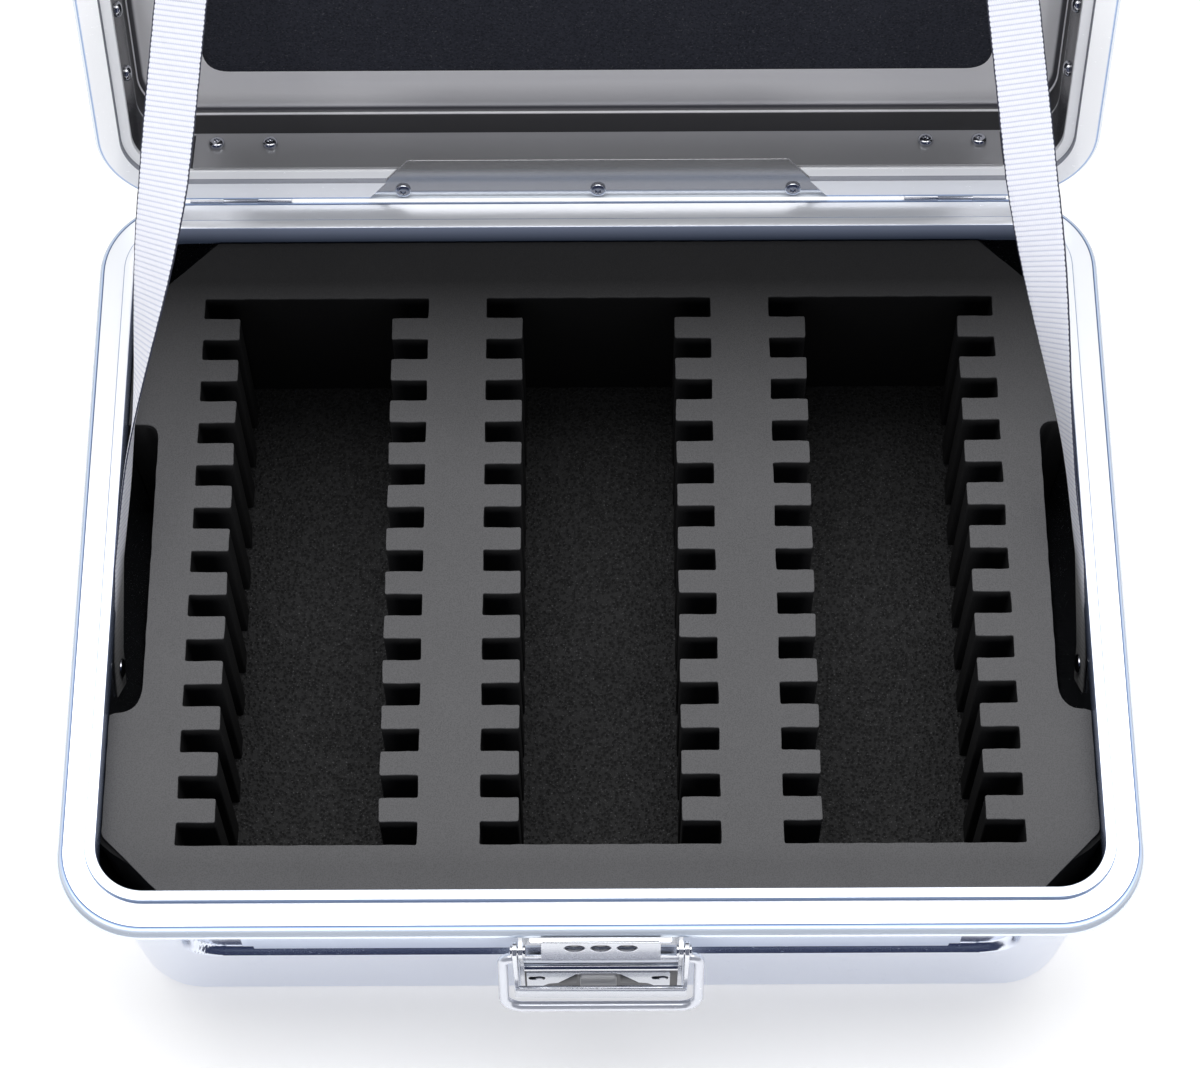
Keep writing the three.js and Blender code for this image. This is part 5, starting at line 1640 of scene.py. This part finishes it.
@dataclass
class Plates:
    """The strip on the front panel, and the lid's hinge strip, cover plate, screws and rivets."""

    strip_half: float = 199.0
    strip_low: float = 82.8
    strip_high: float = 134.8
    panel_y: float = -204.7
    lining_inset: float = 21.3
    screw_hole: float = 2.4
    hinge_half: float = 238.0
    screw_xs: tuple[float, ...] = (-225.0, -193.5, 193.5, 225.0)
    screw_depth: float = 24.6
    cover_xs: tuple[float, ...] = (-115.0, 0.0, 115.0)
    cover_lower: float = 271.0
    cover_upper: float = 223.0
    cover_reach: float = 28.5
    rivets: int = 7
    rivet_pitch: float = 47.5
    rivet_depth: float = 17.0

    def front_strip(self) -> None:
        """The long thin strip behind the latch, with its lower corners stepped back."""
        half, low, high = self.strip_half, self.strip_low, self.strip_high
        outline = np.array([[6 - half, low], [half - 6, low], [half - 6, low + 4], [half, low + 4],
                            [half, high], [-half, high], [-half, low + 4], [6 - half, low + 4]])
        strip = slab(rounded(outline, 0.6, 2), self.panel_y - 1.8, self.panel_y - 0.3, 0.25, (0, 2, 1))
        surface("front_strip_plate", strip, CASE, STRIP_METAL, replaces=["front_strip"])

    def hinge_strip(self) -> None:
        """The grey strip inside the lid's rear wall, with a hole for each screw, and the screws."""
        outer = SIZES.half_depth - self.lining_inset
        low, high = SIZES.lid_band_z + 4.8, SIZES.lid_band_z + 34.6
        seat_z = SIZES.lid_band_z + self.screw_depth
        outline = box_outline(-self.hinge_half, self.hinge_half, low, high, 1.2, 4)
        holes = [disc_outline(x, seat_z, self.screw_hole) for x in self.screw_xs]
        mesh = plate("hinge_strip_plate", outline, holes, outer - 1.2, outer, 0.22, (0, 2, 1))
        place("hinge_strip_plate", self.lift(mesh), LID, GREY_PLATE, replaces=["hinge_strip"])
        for number, x in enumerate(self.screw_xs, 1):
            screw = PanScrew().solid([x, outer - 1.5, seat_z], [0, -1, 0])
            surface(f"strip_screw_head_{number}", lifted(screw), LID, STEEL, sharp=35,
                    replaces=[f"strip_screw_{number}"])

    @staticmethod
    def lift(mesh: Mesh) -> Mesh:
        """Turns a mesh made for the shut lid to where the open lid has it."""
        flat = np.empty(len(mesh.vertices) * 3)
        mesh.vertices.foreach_get("co", flat)
        moved = SIZES.opened(flat.reshape(-1, 3) / MM) * MM
        mesh.vertices.foreach_set("co", moved.ravel())
        return mesh

    def cover(self) -> None:
        """The dark cover plate over the hinge line, wider at its lower edge, with three screws."""
        z = SIZES.lid_band_z + 3.0
        edge_y = SIZES.half_depth - 0.9
        screw_y = SIZES.half_depth - 6.0
        outline = rounded(np.array([[self.cover_lower / 2, edge_y], [-self.cover_lower / 2, edge_y],
                                    [-self.cover_upper / 2, edge_y - self.cover_reach],
                                    [self.cover_upper / 2, edge_y - self.cover_reach]]), 1.5, 4)[::-1]
        outline = anticlockwise(outline)
        holes = [disc_outline(x, screw_y, self.screw_hole) for x in self.cover_xs]
        mesh = plate("hinge_cover_plate", outline, holes, z, z + 1.2, 0.3, (0, 1, 2))
        place("hinge_cover_plate", self.lift(mesh), LID, COVER_PLATE, replaces=["hinge_cover"])
        for number, x in enumerate(self.cover_xs, 1):
            screw = PanScrew(height=2.0, depth=1.1).solid([x, screw_y, z - 0.3], [0, 0, -1])
            surface(f"cover_screw_head_{number}", lifted(screw), LID, STEEL, sharp=35,
                    replaces=[f"cover_screw_{number}"])

    def side_rivets(self) -> None:
        """A row of dome rivets inside each of the lid's side skirts."""
        dome = Rivet(4.6, 3.4)
        for side in Side:
            seat = side.value * (SIZES.half_width - self.lining_inset)
            for number in range(1, self.rivets + 1):
                y = (number - (self.rivets + 1) / 2) * self.rivet_pitch
                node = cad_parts[f"lid_rivet_{side.word}_{number}"]
                head = dome.solid([seat, y, SIZES.lid_band_z + self.rivet_depth], [-side.value, 0, 0])
                points, faces = lifted(head)
                surface(f"lid_rivet_head_{side.word}_{number}", (self.matched(points, node), faces), LID, STEEL,
                        sharp=40, replaces=[node.name])

    @staticmethod
    def matched(points: Points, node: Piece) -> Points:
        """Moves points so that their box's middle is the node's."""
        corners = np.array([node.matrix_world @ Vector(c) for c in node.bound_box]) / MM
        middle = (corners.min(axis=0) + corners.max(axis=0)) / 2
        return points + middle - (points.min(axis=0) + points.max(axis=0)) / 2

    def build(self) -> None:
        """Makes all of the plates and their fasteners."""
        self.front_strip()
        self.hinge_strip()
        self.cover()
        self.side_rivets()


# Latch


@dataclass
class DrawLatch:
    """The draw latch: base with window plate and lower plate, lever, wire bail, safety catch and pins."""

    width: float = 94.0
    lever_y: float = -235.5
    lever_z: float = 163.0
    bail_y: float = -236.5
    bail_z: float = 154.0
    nose: float = 4.2
    back_y: float = -206.8
    back_top: float = 135.1
    flange: float = 9.6
    plate: float = 2.5
    rod: float = 2.8
    bail_gap: float = 5.5
    bail_reach: float = 49.0
    bail_forward: float = 11.0
    window_half: float = 32.0
    window_y: float = -233.0
    window_low: float = 138.5
    window_pitch: float = 14.0
    window_z: float = 158.5
    window_radius: float = 5.5
    backing_y: float = -229.1
    lip_low: float = 101.5
    lip_top: float = 115.5
    lower_y: float = -232.5
    lower_low: float = 93.0
    lower_top: float = 121.3
    bar_z: float = 126.8
    pin_x: float = 33.5
    pin_z: float = 113.0
    travel: float = 3.0

    @property
    def cheek_outer(self) -> float:
        """The outer face of the base's cheeks."""
        return self.width / 2 - self.plate - 0.6

    def cheek(self) -> Points:
        """The cheek's outline as [y, z]: from the back plate round under the frame's skirt to the pivot."""
        front = -SIZES.half_depth
        turn = np.linspace(math.pi / 2, math.pi, 9)
        arc = np.stack([self.lever_y + self.nose * np.cos(turn), self.lever_z + self.nose * np.sin(turn)],
                       axis=1)
        points = np.array([[self.back_y, self.lower_low], [self.back_y, self.back_top],
                           [front + 8.6, self.back_top], [front + 3.1, 159.6], [front - 0.9, 159.6],
                           [front - 0.9, self.lever_z + self.nose], *arc, [self.bail_y, 149.5],
                           [front - 6.5, 136.0], [front - 6.5, self.lower_low + 5.0],
                           [front - 2.0, self.lower_low]])
        return anticlockwise(points)

    def base(self) -> None:
        """Makes the base: back plate, two cheeks, window plate with its top flange, and lower plate."""
        outer = self.cheek_outer
        back = rounded(box_outline(-outer, outer, self.lower_low, self.back_top), 1.0, 2)
        parts = [slab(back, self.back_y - 2.0, self.back_y, 0.3, (0, 2, 1))]
        for x in (-outer, outer - self.plate):
            parts.append(slab(rounded(self.cheek(), 0.5, 2), x, x + self.plate, 0.3, (1, 2, 0)))
        top = box_outline(-38, 38, self.window_y + 0.2, -229.4, 1.0, 3)
        parts.append(slab(top, SIZES.band_z - 1.5, SIZES.band_z, 0.35, (0, 1, 2)))
        tabs = box_outline(-outer + 1, outer - 1, self.window_low, self.window_low + 7, 0.8, 2)
        parts.append(slab(tabs, self.window_y + 0.15, self.window_y + 1.5, 0.3, (0, 2, 1)))
        surface("latch_base_body", joined(parts), CASE, LATCH_METAL, sharp=45, replaces=["latch_base"])
        half, low = self.window_half, self.window_low
        window = box_outline(-half, half, low, SIZES.band_z, 0.8, 3)
        holes = [disc_outline(k * self.window_pitch, self.window_z, self.window_radius, 40) for k in (-1, 0, 1)]
        mesh = plate("latch_window_plate", window, holes, self.window_y, self.window_y + 1.5, 0.35, (0, 2, 1))
        place("latch_window_plate", mesh, CASE, LATCH_METAL, sharp=45)
        inner = outer - self.plate + 1
        lower = box_outline(-inner, inner, self.lower_low, self.lower_top, 0.8, 3)
        holes = [disc_outline(k * self.pin_x, self.pin_z, 1.7) for k in (-1, 1)]
        mesh = plate("latch_lower_plate", lower, holes, self.lower_y, self.lower_y + 1.5, 0.3, (0, 2, 1))
        place("latch_lower_plate", mesh, CASE, DARK_METAL_AND_SHADE, sharp=45)

    def backing(self) -> None:
        """The dark plate behind the windows, with the heads of the base's rivets."""
        half = self.window_half
        outline = box_outline(-half, half, self.window_z - 6.5, self.window_z + 6.2, 0.6, 2)
        backing = slab(outline, self.backing_y - 0.9, self.backing_y, 0.2, (0, 2, 1))
        surface("window_backing_plate", backing, CASE, DARK_METAL_AND_SHADE, sharp=45, replaces=["window_backing"])
        dome = Rivet(4.0, 1.5)
        heads = [dome.solid([k * self.window_pitch, self.backing_y - 0.6, self.window_z], [0, -1, 0])
                 for k in (-1, 0, 1)]
        surface("window_rivet_heads", joined(heads), CASE, GREY_PLATE, sharp=40)

    def lever(self) -> None:
        """Makes the lever: two flanges with round heads, and the curled finger lip between them."""
        y, z = self.lever_y, self.lever_z
        turn = np.linspace(0, math.pi, 17)
        head = np.stack([y + self.flange / 2 * np.cos(turn), z + self.flange / 2 * np.sin(turn)], axis=1)
        foot = np.array([[y - self.flange / 2, self.lip_top], [y - 6.0, self.lip_low],
                         [y + self.flange / 4, self.lip_low], [y + self.flange / 2, self.lip_top]])
        outline = anticlockwise(np.concatenate([head, foot]))
        half = self.width / 2
        parts = [slab(outline, x, x + self.plate, 0.45, (1, 2, 0)) for x in (-half, half - self.plate)]
        span = np.linspace(-half + 0.1, half - 0.1, 33)
        sag = self.lip_low - 2.2 * (1 - (span / half) ** 2)
        lip = np.concatenate([np.stack([span, sag], axis=1),
                              [[half - 0.1, self.lip_top], [0.1 - half, self.lip_top]]])
        parts.append(slab(rounded(lip, 2.5, 3), y - 6.0, y - 3.6, 0.8, (0, 2, 1), 4))
        surface("lever_frame", joined(parts), LEVER, LATCH_METAL, sharp=45, replaces=["lever"])

    def bail(self) -> None:
        """Makes the wire bail: a round rod swept along its bent path.

        The path lies in one plane, so its sideways direction is the tangent crossed with the plane's normal.
        """
        lean = math.atan2(self.bail_forward, self.bail_reach)
        down = np.array([0, -math.sin(lean), -math.cos(lean)])
        across = np.array([1.0, 0, 0])
        normal = np.cross(across, down)
        half = self.width / 2 + self.bail_gap
        reach = math.hypot(self.bail_reach, self.bail_forward)
        end = self.width / 2 - self.plate + 0.3
        quarter = np.linspace(0, math.pi / 2, 13)
        top = np.stack([half - 5 + 5 * np.sin(quarter), 5 - 5 * np.cos(quarter)], axis=1)
        low = np.stack([half - 10 + 10 * np.cos(quarter), reach - 10 + 10 * np.sin(quarter)], axis=1)
        side = np.concatenate([[[end, 0]], top, low])
        path = np.concatenate([side, side[::-1] * [-1, 1]])
        centre = np.array([0, self.bail_y, self.bail_z]) + path[:, :1] * across + path[:, 1:] * down
        tangent = np.gradient(centre, axis=0)
        tangent /= np.linalg.norm(tangent, axis=1, keepdims=True)
        sideways = np.cross(tangent, normal)
        turn = np.linspace(0, 2 * math.pi, 24, endpoint=False)
        rows = centre[:, None] + self.rod * (np.cos(turn)[None, :, None] * sideways[:, None]
                                             + np.sin(turn)[None, :, None] * normal)
        surface("bail_wire", capped(rows), BAIL, BAIL_METAL, replaces=["bail"])

    def catch(self) -> None:
        """Makes the sliding safety catch: a slotted plate, a raised thumb tab and two flat wings painted dark
        as the shade of the catch's sloping facets.
        """
        shift = -self.travel / 2
        back, front = self.lower_y - 0.3, self.lower_y - 1.8
        top, half, tab_half, tab_low = self.lower_top, 39.0, 9.9, self.lower_top - 16.5
        curve = np.array([[30.7, self.lower_low + 1.7], [29.8, 100.5], [27.0, 103.6], [21.0, 105.0],
                          [11.9, 119.5]])
        left = np.concatenate([[[-half, self.lower_low + 1.7]], curve * [-1, 1]])
        outline = np.concatenate([left, left[::-1] * [-1, 1], [[half, top], [-half, top]]])
        holes = [box_outline(x - 4.5, x + 4.5, self.pin_z - 2.6, self.pin_z + 2.6, 2.4, 5)[::-1] + [shift, 0]
                 for x in (-self.pin_x, self.pin_x)]
        mesh = plate("safety_catch_plate", rounded(outline, 0.5, 2) + [shift, 0], holes, front, back, 0.2,
                     (0, 2, 1))
        place("safety_catch_plate", mesh, CATCH, LATCH_METAL, sharp=45, replaces=["safety_catch"])
        tab = box_outline(-tab_half, tab_half, tab_low, top - 1.2, 1.2, 4) + [shift, 0]
        surface("safety_catch_tab", slab(tab, front - 2.2, back - 0.2, 0.6, (0, 2, 1), 4), CATCH, GREY_PLATE,
                sharp=45)
        # painted shade: flat dark triangles stand for the shaded sloping facets beside the tab
        wings = []
        for sign in (-1, 1):
            wing = np.array([[sign * 11.9, 119.5], [sign * 11.9, 104.6], [sign * 22.0, 104.6]]) + [shift, 0]
            wing = rounded(anticlockwise(wing), 0.6, 2)
            wings.append(slab(wing, front - 0.2, back + 0.1, 0.15, (0, 2, 1)))
        surface("safety_catch_wings", joined(wings), CATCH, DARK_METAL_AND_SHADE, sharp=45)

    def pins(self) -> None:
        """Makes the cross bar, the guide pins and the lever's two headed pivots."""
        bar = np.array([[-self.cheek_outer, 1.9], [0.4 - self.cheek_outer, 2.3], [self.cheek_outer - 0.4, 2.3],
                        [self.cheek_outer, 1.9]])
        surface("cross_bar_rod", turned(bar, [0, self.lower_y, self.bar_z], [1, 0, 0]), CASE, STEEL, sharp=35,
                replaces=["cross_bar"])
        for side in Side:
            pin = np.array([[0, 1.7], [0.3, 2.0], [2.5, 2.0], [2.5, 1.4], [3.9, 1.4]])
            seat = [side.value * self.pin_x, self.lower_y - 2.4, self.pin_z]
            surface(f"guide_pin_rod_{side.word}", turned(pin, seat, [0, 1, 0], 24), CASE, STEEL, sharp=35,
                    replaces=[f"guide_pin_{side.word}"])
            inner, outer = self.cheek_outer - self.plate - 0.3, self.width / 2 + 0.3
            pivot = np.array([[inner - 1.1, 2.6], [inner - 0.8, 3.2], [inner, 3.2], [inner, 2.4], [outer, 2.4],
                              [outer, 3.2], [outer + 0.7, 3.1], [outer + 1.1, 2.2]])
            pivot = turned(pivot, [0, self.lever_y, self.lever_z], [side.value, 0, 0])
            surface(f"lever_pivot_pin_{side.word}", pivot, CASE, STEEL, sharp=35,
                    replaces=[f"lever_pivot_{side.word}"])

    def build(self) -> None:
        """Makes all of the latch."""
        self.base()
        self.backing()
        self.lever()
        self.bail()
        self.catch()
        self.pins()


# Hidden hardware


@dataclass
class Hinge:
    """A thin leaf hinge behind the rims: its knuckles sit in the seam between the two beads."""

    side: Side
    middle: float = 211.0
    length: float = 60.0
    thick: float = 0.95
    knuckle: float = 1.25
    bend: float = 7.5
    foot: float = 9.5
    end: float = 29.0
    curl: float = 284.0

    def profile(self, curled: bool) -> Points:
        """A leaf's section as [outset, depth]: down the skirt, and curled round the pin where wanted.

        Args:
            curled: whether the leaf's top edge is rolled into a knuckle.

        Returns:
            The section's points.
        """
        frames = RimFrames()

        def skirt(depth: float) -> float:
            """The skirt's outset at a depth, with a little room."""
            share = (depth - frames.bead_depth) / (frames.skirt_depth - frames.bead_depth)
            return 0.45 - frames.skirt_top - (frames.skirt_inset - frames.skirt_top) * share

        inner = np.array([[self.knuckle - self.thick, 1.9], [self.knuckle - self.thick, self.bend],
                          [skirt(self.foot), self.foot], [skirt(self.end), self.end]])
        outer = inner[::-1] + [self.thick, 0]
        if not curled:
            return np.concatenate([inner, outer])
        turn = np.linspace(0, math.radians(self.curl), 24)
        axis = SIZES.band_z - SIZES.axis_z
        curl = np.stack([self.knuckle * np.cos(turn), axis - self.knuckle * np.sin(turn)], axis=1)
        return np.concatenate([inner[1:], outer[:-1], curl])

    def leaf(self, knuckles: Sequence[tuple[float, float]], plain: Sequence[tuple[float, float]],
             sign: float, base: float) -> Solid:
        """One leaf, in lengths with and without a knuckle.

        Args:
            knuckles: the lengths with a knuckle, from and to along X.
            plain: the lengths without one.
            sign: which way depth runs along Z.
            base: where depth is zero.

        Returns:
            The solid.
        """
        parts = []
        for curled, lengths in ((True, knuckles), (False, plain)):
            outline = anticlockwise(self.profile(curled) * [1, sign] + [SIZES.half_depth, base])
            for low, high in lengths:
                x = self.side.value * self.middle
                parts.append(slab(outline, x + low, x + high, 0.15, (1, 2, 0)))
        return joined(parts)

    def build(self) -> None:
        """Makes both leaves."""
        half, third = self.length / 2, self.length / 6
        inner = third + 0.3
        leaf = self.leaf([(-half, -inner), (inner, half)], [(-inner, inner)], -1, SIZES.band_z)
        surface(f"body_leaf_plate_{self.side.word}", leaf, CASE, ZINC, sharp=35,
                replaces=[f"body_hinge_leaf_{self.side.word}"])
        leaf = self.leaf([(-third, third)], [(-half, -third), (third, half)], 1, SIZES.lid_band_z)
        surface(f"lid_leaf_plate_{self.side.word}", lifted(leaf), LID, ZINC, sharp=35,
                replaces=[f"lid_hinge_leaf_{self.side.word}"])


@dataclass
class Hardware:
    """The hinge pins and the lid's keeper, which keep their solid models and get a finish and soft edges."""

    edge: float = 0.25

    def dress(self, name: str, finish: Finish) -> None:
        """Gives a solid node a finish and a bevel."""
        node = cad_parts[name]
        node.data.materials.clear()
        node.data.materials.append(finish.material())
        bevel = node.modifiers.new("soft_edges", "BEVEL")
        bevel.width = self.edge * MM
        bevel.segments = 2
        bevel.limit_method = "ANGLE"
        bevel.angle_limit = math.radians(35)
        LOG.info("%s: dressed", name)

    def build(self) -> None:
        """Makes the hinges' leaves and dresses their pins, the keeper and its rivets."""
        for side in Side:
            Hinge(side).build()
            self.dress(f"hinge_pin_{side.word}", STEEL)
            self.dress(f"keeper_rivet_{side.word}", STEEL)
        self.dress("lid_keeper", STEEL)


# Stage


@dataclass
class Studio:
    """A pale floor, soft light from above and the camera of the photograph."""

    lens: float = 98.137
    sensor: float = 36.0
    place_mm: tuple[float, float, float] = (3.2, -797.32, 1818.40)
    bright: Colour = (1.0, 1.0, 1.0)
    dim: Colour = (0.035, 0.045, 0.09)
    glow: float = 0.27
    ground: Colour = (0.94, 0.93, 0.91)
    back_fade: tuple[float, float] = (-0.35, 0.25)
    high_fade: tuple[float, float] = (0.12, 0.45)

    def floor(self) -> None:
        """Lays the floor under the case."""
        work = bmesh.new()
        bmesh.ops.create_grid(work, x_segments=1, y_segments=1, size=9.0)
        mesh = bpy.data.meshes.new("floor")
        work.to_mesh(mesh)
        work.free()
        ground = bpy.data.objects.new("floor", mesh)
        bpy.context.scene.collection.objects.link(ground)
        pale = bpy.data.materials.new("pale_floor")
        pale.use_nodes = True
        shader = pale.node_tree.nodes["Principled BSDF"]
        shader.inputs["Base Color"].default_value = (*self.ground, 1.0)
        shader.inputs["Roughness"].default_value = 0.7
        shader.inputs["Emission Color"].default_value = (1.0, 1.0, 1.0, 1.0)
        shader.inputs["Emission Strength"].default_value = self.glow
        mesh.materials.append(pale)
        ground.location = (0, 0, -0.0005)

    def area(self, name: str, where: tuple[float, float, float], at: tuple[float, float, float],
             size: tuple[float, float], power: float, shows: bool = True) -> None:
        """Adds a rectangular light that faces a point.

        Args:
            name: the light's name.
            where: where it hangs, in metres.
            at: what it faces.
            size: its width and height in metres.
            power: its power in watts.
            shows: whether shiny faces mirror it.
        """
        data = bpy.data.lights.new(name, "AREA")
        data.shape = "RECTANGLE"
        data.size, data.size_y = size
        data.energy = power
        lamp = bpy.data.objects.new(name, data)
        lamp.visible_glossy = shows
        bpy.context.scene.collection.objects.link(lamp)
        lamp.location = where
        lamp.rotation_euler = (Vector(at) - Vector(where)).to_track_quat("-Z", "Y").to_euler()

    def camera(self) -> None:
        """Sets the camera where the photograph was taken from."""
        data = bpy.data.cameras.new("camera")
        data.lens = self.lens
        data.sensor_width = self.sensor
        data.sensor_fit = "HORIZONTAL"
        eye = bpy.data.objects.new("camera", data)
        bpy.context.scene.collection.objects.link(eye)
        turn = Matrix(((0.99998864, 0.00451436, 0.00153162), (-0.00338608, 0.89878897, -0.43836847),
                       (-0.00335556, 0.4383583, 0.89879405)))
        eye.matrix_world = Matrix.Translation(Vector(self.place_mm) * MM) @ turn.to_4x4()
        bpy.context.scene.camera = eye

    def sky(self) -> None:
        """A room that is bright overhead and behind the case, and dark low down and on the camera's side.

        The share of light is a ramp over the direction's Y, times a ramp over its Z.
        """
        world = bpy.data.worlds.new("studio")
        world.use_nodes = True
        tree = world.node_tree
        w = Wires(tree)
        way = w.add("ShaderNodeTexCoord").outputs["Generated"]
        back = w.ranged(w.part(way, 1), *self.back_fade, 0.0, 1.0)
        high = w.ranged(w.part(way, 2), *self.high_fade, 0.0, 1.0)
        colour = w.blend(w.math("MULTIPLY", back, high), self.dim + (1.0,), self.bright + (1.0,))
        w.join(colour, tree.nodes["Background"].inputs["Color"])
        bpy.context.scene.world = world

    def build(self) -> None:
        """Sets up world, floor, lights and camera."""
        self.sky()
        bpy.context.scene.view_settings.view_transform = "Standard"
        self.floor()
        self.area("overhead", (0.0, 0.3, 2.6), (0.0, 0.0, 0.1), (3.0, 1.6), 37.0)
        self.area("front_fill", (0.0, -2.1, 0.9), (0.0, 0.1, 0.2), (2.4, 1.2), 33.0, shows=False)
        self.camera()


def main() -> None:
    """Builds every piece, then the stage."""
    logging.basicConfig(level=logging.INFO, format="%(name)s %(message)s")
    RimFrames().build()
    Shells().build()
    FoamInsert().build()
    FloorFoam().build()
    LidPad().build()
    for side in Side:
        Strap(side).build()
    Plates().build()
    DrawLatch().build()
    Hardware().build()
    Studio().build()


if __name__ == "__main__":
    main()
